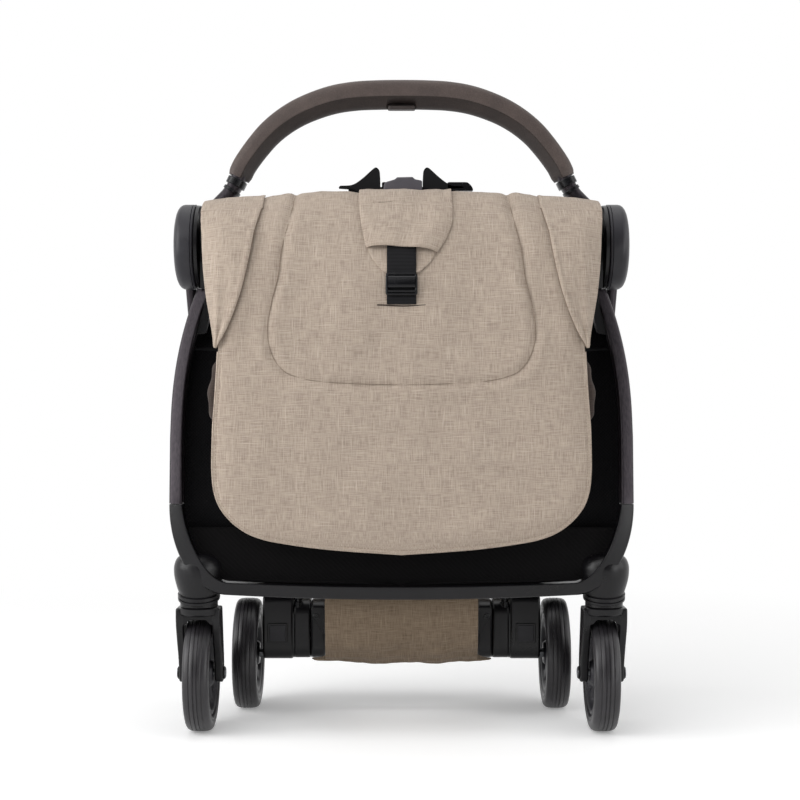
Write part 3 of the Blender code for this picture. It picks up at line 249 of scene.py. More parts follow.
def stitchPiece(name, points, away, look, body, pitch=0.0034, size=(0.0023, 0.0006, 0.0004)):
    # Short flat stitches laid end to end along a line, proud of the cloth by half their height
    line = smoothLine(points, 1200)
    away = np.asarray(away, float)
    at = np.concatenate([[0], np.cumsum(np.linalg.norm(np.diff(line, axis=0), axis=1))])
    mid = np.arange(pitch / 2, at[-1], pitch)
    centre = np.stack([np.interp(mid, at, line[:, k]) for k in range(3)], 1)
    ahead = np.stack([np.interp(mid + 0.001, at, line[:, k]) for k in range(3)], 1) - centre
    spots = np.linspace(0, at[-1], len(away))
    up = np.stack([np.interp(mid, spots, away[:, k]) for k in range(3)], 1)
    ahead /= np.maximum(np.linalg.norm(ahead, axis=1, keepdims=True), 1e-9)
    up /= np.linalg.norm(up, axis=1, keepdims=True)
    side = np.cross(ahead, up)
    a, b, c = (x / 2 for x in size)
    # An eight-point lozenge: full width in the middle, a third at each end
    shape = np.array([(-a, -b / 3, 0), (-a, b / 3, 0), (a, b / 3, 0), (a, -b / 3, 0), (0, -b, 0), (0, b, 0),
        (0, 0, c * 2), (0, 0, -c)])
    x, y, z = shape[:, 0], shape[:, 1], shape[:, 2]
    p = centre[:, None] + x[:, None] * ahead[:, None] + y[:, None] * side[:, None]
    p = p + z[:, None] * up[:, None]
    tri = np.array([(0, 4, 6, 6), (4, 3, 6, 6), (3, 2, 6, 6), (2, 5, 6, 6), (5, 1, 6, 6), (1, 0, 6, 6),
        (4, 0, 7, 7), (3, 4, 7, 7), (2, 3, 7, 7), (5, 2, 7, 7), (1, 5, 7, 7), (0, 1, 7, 7)])
    faces = (tri[None, :, :3] + 8 * np.arange(len(mid))[:, None, None]).reshape(-1, 3)
    return meshPiece(name, p, faces, look, body)


def linear(code):
    c = np.array([int(code[i : i + 2], 16) for i in (1, 3, 5)]) / 255
    c = np.where(c <= 0.04045, c / 12.92, ((c + 0.055) / 1.055) ** 2.4)
    return (*c.tolist(), 1.0)


def addNode(tree, kind, settings=None, links=None):
    # Settings name a socket by its number or name, or else one of the node's own options
    node = tree.nodes.new(kind)
    for key, value in (settings or {}).items():
        if isinstance(key, str) and key not in node.inputs:
            setattr(node, key, value)
    for key, value in (settings or {}).items():
        if not isinstance(key, str) or key in node.inputs:
            node.inputs[key].default_value = value
    for key, socket in (links or {}).items():
        tree.links.new(socket, node.inputs[key])
    return node


def newLook(name, space, **sockets):
    # space is UV for cloth, which carries its own weave map, or Object for solid pieces
    look = bpy.data.materials.new(name)
    look.use_nodes = True
    tree = look.node_tree
    shader = tree.nodes["Principled BSDF"]
    for key, value in sockets.items():
        shader.inputs[key.replace("_", " ")].default_value = value
    if space == "UV":
        return look, tree, shader, addNode(tree, "ShaderNodeUVMap", {"uv_map": "weave"}).outputs["UV"]
    return look, tree, shader, addNode(tree, "ShaderNodeTexCoord").outputs["Object"]


def colourRamp(tree, factor, low, high, start, end):
    ramp = addNode(tree, "ShaderNodeValToRGB", links={"Fac": factor})
    for element, place, code in zip(ramp.color_ramp.elements, (start, end), (low, high)):
        element.position, element.color = place, linear(code)
    return ramp.outputs["Color"]


def streaks(tree, source, scale, detail=2.0, seed=0.0):
    # Noise stretched by a different scale along each direction, in turns per metre
    moved = addNode(tree, "ShaderNodeMapping", {"Scale": scale, "Location": (seed, seed * 1.7, 0)},
        {"Vector": source})
    noise = addNode(tree, "ShaderNodeTexNoise", {"Scale": 1.0, "Detail": detail, "Roughness": 0.6},
        {"Vector": moved.outputs["Vector"]})
    return noise.outputs[0]


def combine(tree, operation, a, b):
    plain = isinstance(b, (int, float))
    return addNode(tree, "ShaderNodeMath", {"operation": operation, **({1: b} if plain else {})},
        {0: a, **({} if plain else {1: b})}).outputs[0]


def dress(tree, shader, tone, ramp, relief, strength, distance):
    # The tone picks between two colours (low, high, start, end), the relief raises the surface
    if ramp:
        tree.links.new(colourRamp(tree, tone, *ramp), shader.inputs["Base Color"])
    node = addNode(tree, "ShaderNodeBump", {"Strength": strength, "Distance": distance}, {"Height": relief})
    tree.links.new(node.outputs["Normal"], shader.inputs["Normal"])


def wovenLinen(name, light, mid, dark, seed=0.0):
    # Slubbed linen blend, plain weave: matt, with uneven threads that run both ways
    weave = dict(thread=0.0007, run=0.015, slub=0.034, rough=0.92)
    look, tree, shader, uv = newLook(name, "UV", Roughness=weave["rough"], Sheen_Weight=0.1,
        Sheen_Roughness=0.5, Specular_IOR_Level=0.25)
    fine, long, slow = 1 / weave["thread"], 1 / weave["run"], 1 / weave["slub"]
    warp = streaks(tree, uv, (fine, long, 1), 2.0, seed + 3.1)
    weft = streaks(tree, uv, (long, fine, 1), 2.0, seed + 8.3)
    slubUp = streaks(tree, uv, (fine * 0.7, slow, 1), 1.0, seed + 1.7)
    slubOver = streaks(tree, uv, (slow, fine * 0.7, 1), 1.0, seed + 5.9)
    cloud = streaks(tree, uv, (14, 14, 1), 3.0, seed)
    threads = combine(tree, "MULTIPLY", combine(tree, "ADD", warp, weft), 0.5)
    base = colourRamp(tree, threads, dark, mid, 0.4, 0.54)
    slub = combine(tree, "MAXIMUM", slubUp, slubOver)
    strong = addNode(tree, "ShaderNodeMapRange", {1: 0.6, 2: 0.72}, {0: slub}).outputs[0]
    mixed = addNode(tree, "ShaderNodeMix", {"data_type": "RGBA", 7: linear(light)},
        {0: combine(tree, "MULTIPLY", strong, 0.48), 6: base})
    soft = addNode(tree, "ShaderNodeMapRange", {1: 0.3, 2: 0.7, 3: 0.95, 4: 1.04}, {0: cloud})
    tint = addNode(tree, "ShaderNodeVectorMath", {"operation": "SCALE"},
        {0: mixed.outputs[2], "Scale": soft.outputs[0]})
    tree.links.new(tint.outputs[0], shader.inputs["Base Color"])
    relief = combine(tree, "ADD", threads, combine(tree, "MULTIPLY", strong, 0.4))
    dress(tree, shader, None, None, relief, 0.5, 0.0007)
    return look


def ribbedWebbing(name, colour, edge):
    # Polyester webbing: ribs across its length at 2 mm, drawn coarser than the 1 mm real ones
    look, tree, shader, uv = newLook(name, "UV", Roughness=0.62, Specular_IOR_Level=0.2)
    rib = addNode(tree, "ShaderNodeTexWave", {"Scale": 80.0, "Distortion": 0.4, "bands_direction": "Y"},
        {"Vector": uv}).outputs["Fac"]
    tone = combine(tree, "MULTIPLY", combine(tree, "ADD", rib, streaks(tree, uv, (900, 60, 1))), 0.5)
    dress(tree, shader, tone, (colour, edge, 0.2, 0.9), tone, 0.5, 0.0008)
    return look


def openMesh(name, thread, hole):
    # Warp knit net: holes at 2.6 mm in staggered rows, shown as dark dots in a paler net
    look, tree, shader, uv = newLook(name, "UV", Roughness=0.8, Specular_IOR_Level=0.15)
    turned = addNode(tree, "ShaderNodeMapping", {"Rotation": (0, 0, math.radians(45)),
        "Scale": (385, 385, 1)}, {"Vector": uv}).outputs["Vector"]
    cells = addNode(tree, "ShaderNodeTexVoronoi", {"Scale": 1.0, "Randomness": 0.0},
        {"Vector": turned}).outputs["Distance"]
    dress(tree, shader, cells, (hole, thread, 0.28, 0.45), cells, 0.5, 0.001)
    return look


def blackTwill(name, colour, pale):
    # Polyester twill: matt black with a fine diagonal, 1.4 mm to the wale
    look, tree, shader, uv = newLook(name, "UV", Roughness=0.85, Specular_IOR_Level=0.12)
    wale = addNode(tree, "ShaderNodeTexWave", {"Scale": 114.0, "Distortion": 0.3,
        "bands_direction": "DIAGONAL"}, {"Vector": uv}).outputs["Fac"]
    dress(tree, shader, wale, (colour, pale, 0.2, 0.9), wale, 0.3, 0.0004)
    return look


def solidLook(name, colour, pale, roughness, tone, ramp, relief, swing=None, **sockets):
    # Noise tone (scale, detail, seed) mixes two colours and swings the roughness. Noise relief
    # (scale, detail, strength, distance) raises the grain; with no scale it is the tone's own
    look, tree, shader, place = newLook(name, "Object", Roughness=roughness, **sockets)
    wide = streaks(tree, place, *tone)
    scale, detail, strength, distance = relief
    fine = streaks(tree, place, scale, detail) if scale else wide
    if swing:
        rough = addNode(tree, "ShaderNodeMapRange", {1: 0.3, 2: 0.7, 3: roughness - swing[0],
            4: roughness + swing[1]}, {0: wide}).outputs[0]
        tree.links.new(rough, shader.inputs["Roughness"])
    dress(tree, shader, wide, (colour, pale, *ramp), fine, strength, distance)
    return look


def grainedPlastic(name, colour, pale, roughness):
    # Glass-filled nylon, moulded with a spark-eroded grain of 0.9 mm: satin, with soft highlights
    return solidLook(name, colour, pale, roughness, ((22, 22, 22), 3.0, 4.0), (0.3, 0.75),
        ((1 / 0.0009,) * 3, 2.0, 0.22, 0.0003), (0.05, 0.07), Specular_IOR_Level=0.3)


def grainedLeather(name, colour, pale):
    # Bonded leather wrap: pebbled grain about 1.2 mm across, matt with a slight waxy sheen
    look, tree, shader, place = newLook(name, "Object", Roughness=0.55, Specular_IOR_Level=0.4)
    cells = addNode(tree, "ShaderNodeTexVoronoi", {"Scale": 820.0}, {"Vector": place}).outputs["Distance"]
    wide = combine(tree, "MULTIPLY", streaks(tree, place, (40, 40, 40), 3.0), 0.65)
    tone = combine(tree, "ADD", combine(tree, "MULTIPLY", cells, 0.35), wide)
    dress(tree, shader, tone, (colour, pale, 0.25, 0.7), cells, 0.3, 0.0004)
    return look


looks = dict(
    linen=wovenLinen("linenBeige", "#CFC1B2", "#B4A596", "#95867A"),
    # The basket's beige linen, painted darker as the shade it hangs in under the seat
    linenShade=wovenLinen("linenBasketPaintedShade", "#988772", "#7B6B59", "#5F5142", 11.0),
    liner=wovenLinen("linerTaupe", "#5C5049", "#463C37", "#352D29", 23.0),
    # Linen as it looks in shadow: painted shade for the cords in the grooves and under the wings' folds
    grooveShade=grainedPlastic("linenSeamShade", "#7F7164", "#8C7D6F", 0.9),
    stitch=grainedPlastic("sewingThread", "#8E8072", "#9C8E80", 0.8),
    # Dark thread for the grip's stitches, also used as the painted shade inside the strap's slit
    darkThreadAndSlitShade=grainedPlastic("gripThreadAndSlitShade", "#2E2723", "#3D3430", 0.8),
    webbing=ribbedWebbing("webbingBlack", "#070709", "#131216"),
    net=openMesh("netBlack", "#0E0D10", "#030304"),
    twill=blackTwill("twillBlack", "#060506", "#0B0A0B"),
    # Extruded aluminium, satin black anodised: faint draw lines run down the tube
    tube=solidLook("anodisedBlack", "#2A262A", "#3C373B", 0.36, ((700, 700, 9),), (0.35, 0.7),
                   (None, 0, 0.06, 0.0002), (0.04, 0.08), Metallic=0.75),
    moulded=grainedPlastic("nylonBlack", "#0B0A0C", "#141316", 0.31),
    hub=grainedPlastic("nylonHub", "#252428", "#333237", 0.40),
    gloss=grainedPlastic("acetalBlack", "#08080A", "#101014", 0.22),
    leather=grainedLeather("leatherTaupe", "#3C322F", "#544843"),
    # Darker leather: painted shade for the wrap's facet under the seam, also used as the fold button's
    # colour
    leatherShade=grainedLeather("leatherLowerShade", "#261F1D", "#372E2B"),
    # Polyurethane foam tyre: matt black, with a trace of floor dust on the tread
    tyre=solidLook("tyreBlack", "#1D1B1E", "#2C2A2E", 0.40, ((60, 60, 60), 4.0), (0.35, 0.8),
                   ((1600, 1600, 1600), 1.0, 0.15, 0.0003)),
    # Zinc plated steel, turned: rings too fine to see leave only a soft spread highlight
    steel=solidLook("zincSteel", "#55565A", "#B9BBBE", 0.35, ((30, 900, 900),), (0.3, 0.9),
                    (None, 0, 0.05, 0.0002), Metallic=1.0),
    grey=grainedPlastic("nylonGrey", "#4E4B51", "#5D5A60", 0.45),
)
print("materials made")


def sided(points, side):
    # The left or the right one of a pair: the first coordinate takes the side's sign
    return np.asarray(points, float) * ([side] + [1] * (len(points[0]) - 1))


hubCover = dict(inner=0.2217, face=0.2447, radius=0.046, recess=0.034, cap=0.0235)


def makeHubs():
    h = hubCover
    centre = (hub["y"], hub["z"])
    start, r, face, cap = h["inner"], h["radius"], h["face"], h["cap"]
    # A domed cap: flat face, shallow ring groove, then a quarter-round shoulder
    outer = [(start, h["recess"]), (start, r - 0.0006), (start + 0.0006, r), (start + 0.0024, r),
        (start + 0.0028, r - 0.0009), (start + 0.0033, r), (0.234, r), (0.2364, r - 0.0006),
        (0.2386, r - 0.002), (0.2404, r - 0.0042), (0.2418, r - 0.0072), (0.2428, r - 0.011),
        (0.2434, r - 0.0155), (0.2437, r - 0.0195), (0.2431, cap + 0.0012), (0.2431, cap + 0.0002),
        (0.2442, cap - 0.0006), (face - 0.0001, cap - 0.0022), (face, cap - 0.006), (face, 0.0015),
        (0.2364, 0.0015), (0.2364, h["recess"] - 0.001), (0.2355, h["recess"])]
    ring = [(0.2163, 0.0096), (0.2163, 0.043), (0.2172, 0.0449), (0.2206, 0.0453), (0.2211, 0.0447),
        (0.2211, 0.0096)]
    for name, side in sides:
        ringPiece(f"hubCap_{name}", turn(sided(outer, side), centre, "X", 128), "hub", "rear_frame",
            closed=True, sharp=50, stands=[f"hub_cover_{name}"])
        ringPiece(f"hubSeal_{name}", turn(sided(ring, side), centre, "X"), "moulded", "hub_frame",
            closed=True, stands=[f"hub_ring_{name}"])


sideTube = dict(width=0.014, depth=0.025, bow=0.236, topX=0.2125, topZ=0.4694, footZ=0.2425, lean=0.062)


def frameLine(z):
    # Out from the hub: x rises as 1-(1-f)^2.2 and stays, depth runs straight forward with f
    t = sideTube
    f = (t["topZ"] - z) / (t["topZ"] - t["footZ"])
    grow = 1 - (1 - share(f / 0.62)) ** 2.2
    x = t["topX"] + (t["bow"] - t["topX"]) * grow - 0.002 * np.clip(f - 0.7, 0, None) / 0.3
    return x, hub["y"] - 0.01 - t["lean"] * f


def makeSideTubes():
    t = sideTube
    # The front face turns 17 degrees outwards; one shallow groove runs down the inner side
    w, d = t["width"] / 2, t["depth"] / 2
    outline = [(-w, -d), (w, -d + 0.0042), (w, d), (-w, d), (-w, 0.0014), (-w + 0.0013, 0.0006),
        (-w + 0.0013, -0.0026), (-w, -0.0034)]
    section = rounded(outline, [0.0032, 0.0036, 0.004, 0.004, 0.0006, 0.0006, 0.0006, 0.0006], 6)
    z = np.linspace(t["topZ"], t["footZ"] + 0.0006, 70)
    x, y = frameLine(z)
    for name, side in sides:
        rings = sweep(np.stack([side * x, y, z], 1), section * [side, 1])
        rings[0, :, 2], rings[-1, :, 2] = t["topZ"], t["footZ"] + 0.0006
        ringPiece(f"sideTube_{name}", rings, "tube", "front_frame", stands=[f"front_side_tube_{name}"])
        # The lock bracket under the hub, on the tube's inner side
        height = np.linspace(0.42, 0.469, 12)
        edge = np.interp(height, z[::-1], (x - t["width"] / 2 + 0.001)[::-1])
        edge = np.stack([edge, height], 1)
        bracket = np.concatenate([edge, [(0.2022, 0.469), (0.2058, 0.44), (0.2098, 0.4212)]])
        slabPiece(f"lockBracket_{name}", rounded(sided(bracket, side), 0.0012, 4), hub["y"] - 0.026,
            hub["y"] - 0.014, "moulded", "front_frame", axis="Y", soften=0.0008)


footBar = dict(bottom=0.144, height=0.0136, front=-0.09, depth=0.025, footZ=0.2422,
               outRadius=0.062, inRadius=0.05, rise=0.0085)


def barEdges(t):
    # Inner and outer edge at t from 0, mid bar, to 1, the joint: a low curve, then a quarter turn
    b = footBar
    footX = float(frameLine(np.array(sideTube["footZ"]))[0])
    outX, inX = footX + 0.007, footX - 0.007
    t = np.asarray(t, float)
    flat = share(t / 0.5)
    a = np.radians(-90 + 90 * share((t - 0.5) / 0.5))
    straight = (outX - b["outRadius"]) * flat
    lift = b["rise"] * (straight / outX) ** 2
    inFlatX = (inX - b["inRadius"] + 0.0001) * flat
    low = b["bottom"] + b["height"] + lift * 0.9
    outer = np.stack([straight + b["outRadius"] * np.cos(a) * (t > 0.5),
        b["bottom"] + lift + (b["footZ"] - b["bottom"] - lift) * (1 + np.sin(a)) * (t > 0.5)], -1)
    bulge = 0.0045 * np.sin(2 * (a + math.pi / 2)) * (t > 0.5)
    inner = np.stack([inFlatX + b["inRadius"] * np.cos(a) * (t > 0.5) - bulge,
        low + (b["footZ"] - low) * (1 + np.sin(a)) * (t > 0.5)], -1)
    return inner, outer


def makeFootBar():
    b = footBar
    t = np.concatenate([np.linspace(0, 0.48, 14), np.linspace(0.5, 1, 46)])
    inner, outer = barEdges(t)
    signs = np.concatenate([-np.ones(len(t) - 1), np.ones(len(t))])
    order = np.concatenate([np.arange(len(t) - 1, 0, -1), np.arange(len(t))])
    inner, outer, t = inner[order], outer[order], t[order]
    mid, half = (inner + outer) / 2, (outer - inner) / 2
    size = np.linalg.norm(half, axis=1)
    unit = half / size[:, None]
    # A rounded box with a raised lip along its upper front edge. 1 is out, -1 is in
    outline = np.array([(-1.0, -1.0), (1.0, -0.86), (1.0, 1.0), (-0.9, 1.0), (-0.9, -0.62), (-1.0, -0.7)])
    section = rounded(outline, [0.16, 0.34, 0.5, 0.3, 0.05, 0.05], 6)
    midY = hub["y"] + b["front"] + b["depth"] / 2
    jointY = float(frameLine(np.array(sideTube["footZ"]))[1])
    y = midY + (jointY - midY) * share((t - 0.6) / 0.4) ** 1.5
    a = section[None, :, 0] * size[:, None]
    # Towards the side tubes the front face turns outwards, to meet theirs
    twist = 0.0024 * share(t / 0.6)[:, None] * ((section[:, 0] + 1) / 2 * (section[:, 1] < 0))[None]
    rings = np.stack([signs[:, None] * (mid[:, :1] + unit[:, :1] * a),
        y[:, None] + section[None, :, 1] * b["depth"] / 2 + twist, mid[:, 1:] + unit[:, 1:] * a], -1)
    ringPiece("footBar", rings, "moulded", "front_frame", stands=["foot_bar"])

    # The panel above the bar dishes back by 3 mm in its middle
    rows, cols = 16, 60
    edge, _ = barEdges(np.linspace(0.0, 1, 200))
    z = np.linspace(0.156, 0.2175, rows)
    reach = np.interp(z, np.maximum.accumulate(edge[:, 1]), edge[:, 0]) + 0.0025
    u = np.linspace(-1, 1, cols)
    x = np.minimum(reach, reach[-1])[:, None] * u[None]
    low = np.interp(np.abs(x), edge[:, 0], edge[:, 1]) - 0.0012
    zz = np.maximum(z[:, None] + 0 * x, np.minimum(low, 0.2165))
    y = hub["y"] - 0.0712 + 0.003 * np.sin(math.pi * (1 - np.abs(u[None])) / 2) + 0 * zz
    grid = np.stack([x, y, zz], -1)
    clothPiece("footPanel", grid, 0.0026, "twill", "front_frame", stands=["foot_panel"])


def makeCalfMesh():
    # Net stretched between the side tubes; it bows back by a few millimetres in the middle
    rows, cols = 60, 80
    z = np.linspace(0.19, 0.405, rows)
    x, y = frameLine(np.maximum(z, sideTube["footZ"]))
    edge, _ = barEdges(np.linspace(0.5, 1, 60))
    x = np.where(z < sideTube["footZ"], np.interp(z, edge[:, 1], edge[:, 0]) + 0.0085, x)
    u = np.linspace(-1, 1, cols)
    sag = 0.006 * (1 - u**2)[None] * np.sin(np.linspace(0.15, 3.0, rows))[:, None]
    wide = (x - 0.006)[:, None] * u[None]
    grid = np.stack([wide, (y + 0.0146)[:, None] + sag, z[:, None] + 0 * wide], -1)
    grid[..., 2] -= 0.004 * (1 - np.abs(u[None]) ** 3) * (np.linspace(0, 1, rows) ** 6)[:, None]
    clothPiece("calfNet", grid, 0.0016, "net", "front_frame", "stretched",
        ["front_side_tube_left", "front_side_tube_right"], stands=["calf_mesh"])
    # A bound hem along its top edge
    hem = sweep(grid[-1] + [0, 0, 0.0004], oval(0.0042, 0.0034, 2.2, 12))
    ringPiece("calfNetHem", hem, "webbing", "front_frame", weave=hem[..., [0, 2]])
    # Up each tube the net's side gusset runs on to a point under the bracket
    z = np.linspace(0.403, 0.44, 24)
    x, y = frameLine(z)
    u = np.linspace(0, 1, 10)
    reach = np.linspace(0.1935, 0.2105, 24)
    for name, side in sides:
        wide = (x - 0.0062 - reach)[:, None] * u[None]
        grid = np.stack([side * (reach[:, None] + wide), (y + 0.0146)[:, None] + 0 * wide,
            z[:, None] + 0 * wide], -1)
        clothPiece(f"calfGusset_{name}", grid, 0.0016, "net", "front_frame", "stretched",
            [f"front_side_tube_{name}"])


pushTube = dict(x=0.20525, y=0.022, width=0.016, depth=0.022, low=0.165, high=0.5561)


def makePushTubes():
    t = pushTube
    w, d = t["width"] / 2, t["depth"] / 2
    # An oval with a flat front land, so that a line of light runs down it
    section = rounded([(-w, -d * 0.55), (-w * 0.4, -d), (w * 0.4, -d), (w, -d * 0.55), (w, d * 0.6),
        (w * 0.4, d), (-w * 0.4, d), (-w, d * 0.6)], 0.0042, 5)
    for name, side in sides:
        flat = section * [side, 1] + [side * t["x"], hub["y"] + t["y"]]
        slabPiece(f"pushTube_{name}", flat, t["low"], t["high"], "tube", "push_bar", axis="Z",
            soften=0.0006, stands=[f"push_tube_{name}"])


handle = dict(
    line=[(0.0, 0.6862), (0.026, 0.6859), (0.052, 0.6845), (0.0745, 0.6808), (0.0943, 0.6746),
          (0.115, 0.6654), (0.134, 0.653), (0.1465, 0.642), (0.1565, 0.6305), (0.166, 0.618),
          (0.1735, 0.6065), (0.1793, 0.5938), (0.1845, 0.5835), (0.1905, 0.5752), (0.197, 0.5685),
          (0.2025, 0.5625), (0.20525, 0.5565)],
    tube=(0.017, 0.024), gripFoot=0.5938, thickMiddle=0.0312, thickEnd=0.0248, deep=0.0285,
)


def makeHandle():
    h = handle
    half = np.array(h["line"])
    flat = np.concatenate([half[:0:-1] * [-1, 1], half])
    path = np.stack([flat[:, 0], np.full(len(flat), hub["y"] + pushTube["y"]), flat[:, 1]], 1)
    line = smoothLine(path, 260)
    rings = sweep(line, oval(*h["tube"], 2.4, 36))
    rings[0, :, 2] = rings[-1, :, 2] = half[-1, 1]
    ringPiece("handleTube", rings, "tube", "push_bar", stands=["handle_arch"])

    covered = line[line[:, 2] >= h["gripFoot"]]
    grow = 1 - (np.abs(covered[:, 0]) / 0.19) ** 2
    tall = h["thickEnd"] + (h["thickMiddle"] - h["thickEnd"]) * grow
    # Across is outward. The front face is tall, and a facet under the seam faces down and forward
    outline = np.array([(0.66, -0.94), (1.0, -0.5), (1.0, 0.55), (0.62, 1.0), (-0.62, 1.0), (-1.0, 0.6),
        (-1.0, 0.02), (-0.26, -1.02)])
    section = rounded(outline, [0.42, 0.42, 0.5, 0.4, 0.4, 0.4, 0.3, 0.1], 7)
    scale = np.stack([tall / 2, np.full(len(tall), h["deep"] / 2)], 1)
    shape = section[None] * scale[:, None]
    # The wrap is pulled in over its last 4 mm at both ends
    run = np.concatenate([[0], np.cumsum(np.linalg.norm(np.diff(covered, axis=0), axis=1))])
    pull = 1 - 0.1 * bell(np.minimum(run, run[-1] - run), 0.003)
    rings = sweep(covered, shape * pull[:, None, None])
    grip = ringPiece("handleWrap", rings, "leather", "push_bar", stands=["handle_grip"])
    # The wrap is sewn along the seam; the facet under it is painted darker, as painted shade where it faces
    # down and inward
    grip.data.materials.append(looks["leatherShade"])
    column = np.arange(len(grip.data.polygons)) % len(section)
    lower = (column >= 36) & (column < 52) & (np.arange(len(column)) < len(column) - 2)
    grip.data.polygons.foreach_set("material_index", lower.astype(np.int32))
    pocket = rectangle(-0.0156, 0.0156, hub["y"] + 0.0162, hub["y"] + 0.0278, 0.002)
    cutOut(grip, ringPiece("pocketTool", slab(pocket, 0.65, 0.6767, "Z"), "leather", "push_bar"))

    seam = sweep(covered, np.array([[(-0.31, -0.985)]]) * scale[:, None])[:, 0]
    under = sweep(covered, np.array([[(-1.1, -1.9)]]) * scale[:, None])[:, 0] - seam
    stitchPiece("wrapStitches", seam, under, "darkThreadAndSlitShade", "push_bar", 0.0042, (0.003, 0.0009, 0.0005))

    for name, side in sides:
        foot = np.argmin(np.abs(line[:, 2] - h["gripFoot"]) + (line[:, 0] * side < 0))
        for k, (start, span, extra) in enumerate(((1, 5, 0.005), (7, 3, 0.003))):
            step = 1 if side > 0 else -1
            index = np.arange(foot + step * start, foot + step * (start + span), step)
            ring = oval(h["tube"][0] + extra, h["tube"][1] + extra * 0.6, 2.4, 36)
            ring = sweep(line[np.sort(index)], ring)
            bevelled(ringPiece(f"wrapCollar_{name}_{k}", ring, "gloss", "push_bar"), 0.0006)

    # The button takes the same darker leather as the wrap's painted-shade facet
    box = rectangle(-0.015, 0.015, hub["y"] + 0.0165, hub["y"] + 0.0275, 0.003)
    slabPiece("foldButton", box, 0.6691, 0.6733, "leatherShade", "fold_button", axis="Z", soften=0.0008,
        stands=["fold_button"])


def cutOut(target, tool):
    # Takes the tool's shape out of the target and leaves a plain mesh behind
    cut = target.modifiers.new("Cut", "BOOLEAN")
    cut.operation, cut.object, cut.solver = "DIFFERENCE", tool, "EXACT"
    bpy.context.view_layer.update()
    done = bpy.data.meshes.new_from_object(target.evaluated_get(bpy.context.evaluated_depsgraph_get()))
    target.modifiers.clear()
    target.data = done
    bpy.data.objects.remove(tool, do_unlink=True)


makeHubs()
makeSideTubes()
makeFootBar()
makeCalfMesh()
makePushTubes()
makeHandle()
print("hubs, tubes and handle made")


wheels = dict(
    front=dict(x=0.212, y=-0.04, radius=0.061, bore=0.0044),
    rear=dict(x=0.174, y=0.083, radius=0.062, bore=0.0054),
    width=0.027, section=0.016, spokes=7,
)


def makeWheel(end, name, side):
    w = wheels[end]
    half, x = wheels["width"] / 2, side * w["x"]
    centre = (hub["y"] + w["y"], w["radius"])
    seat, body = w["radius"] - wheels["section"], f"{end}_wheel_{name}"
    # Half a tyre from its seat to mid tread: a stepped side wall, a tight shoulder, two fine grooves.
    # Depths are counted in from the side wall and down from the tread
    wall = [(0.003, 0.016), (0.0006, 0.0148), (0, 0.0125), (0.0008, 0.0112), (0, 0.0098), (0, 0.0058),
        (0.0006, 0.0036), (0.002, 0.0018), (0.0042, 0.0008), (0.0065, 0.0003), (0.0068, 0.0008),
        (0.0073, 0.0008), (0.0078, 0.0002), (0.0109, 0), (0.0112, 0.0007), (0.0117, 0.0007), (0.0122, 0)]
    tyre = np.array([-half, w["radius"]]) + np.array(wall) * [1, -wheels["section"] / 0.016]
    tyre = np.concatenate([tyre, tyre[::-1] * [-1, 1]]) + [x, 0]
    ringPiece(f"{end}Tyre_{name}", turn(tyre, centre, "X", 160), "tyre", body, closed=True, sharp=50,
        stands=[f"{end}_{name}_tyre"])

    # Between hub and rim the web falls back between seven spokes, which taper outwards. The third
    # number is how much of that fall a ring takes
    def spokes(a):
        return 1 / (1 + np.exp(-(0.28 - np.cos(a * wheels["spokes"])) * 9))

    rim, hubR, fall = seat - 0.0003, 0.0125, 0.0048
    out = np.array([(0.0008, w["bore"], 0), (0.0008, hubR - 0.0012, 0), (0.002, hubR, 0),
        (0.0048, hubR + 0.002, 0.1), (0.0052, hubR + 0.0042, 0.9), (0.0052, rim - 0.0105, 1),
        (0.0042, rim - 0.0075, 0.15), (0.0026, rim - 0.0062, 0), (0.0016, rim - 0.0045, 0),
        (0.0018, rim - 0.0012, 0), (0.0036, rim, 0)]) * [1, 1, fall] - [half, 0, 0]
    rings = np.concatenate([out, out[::-1] * [-1, 1, -1]]) + [x, 0, 0]
    ringPiece(f"{end}Rim_{name}", turn(rings, centre, "X", 168, spokes), "hub", body, closed=True, sharp=55,
        stands=[f"{end}_{name}_rim"])


caster = dict(x=0.212, y=-0.062, axleY=-0.04, axleZ=0.061, top=0.1342, inner=0.0146, thick=0.0084,
    lean=0.26)


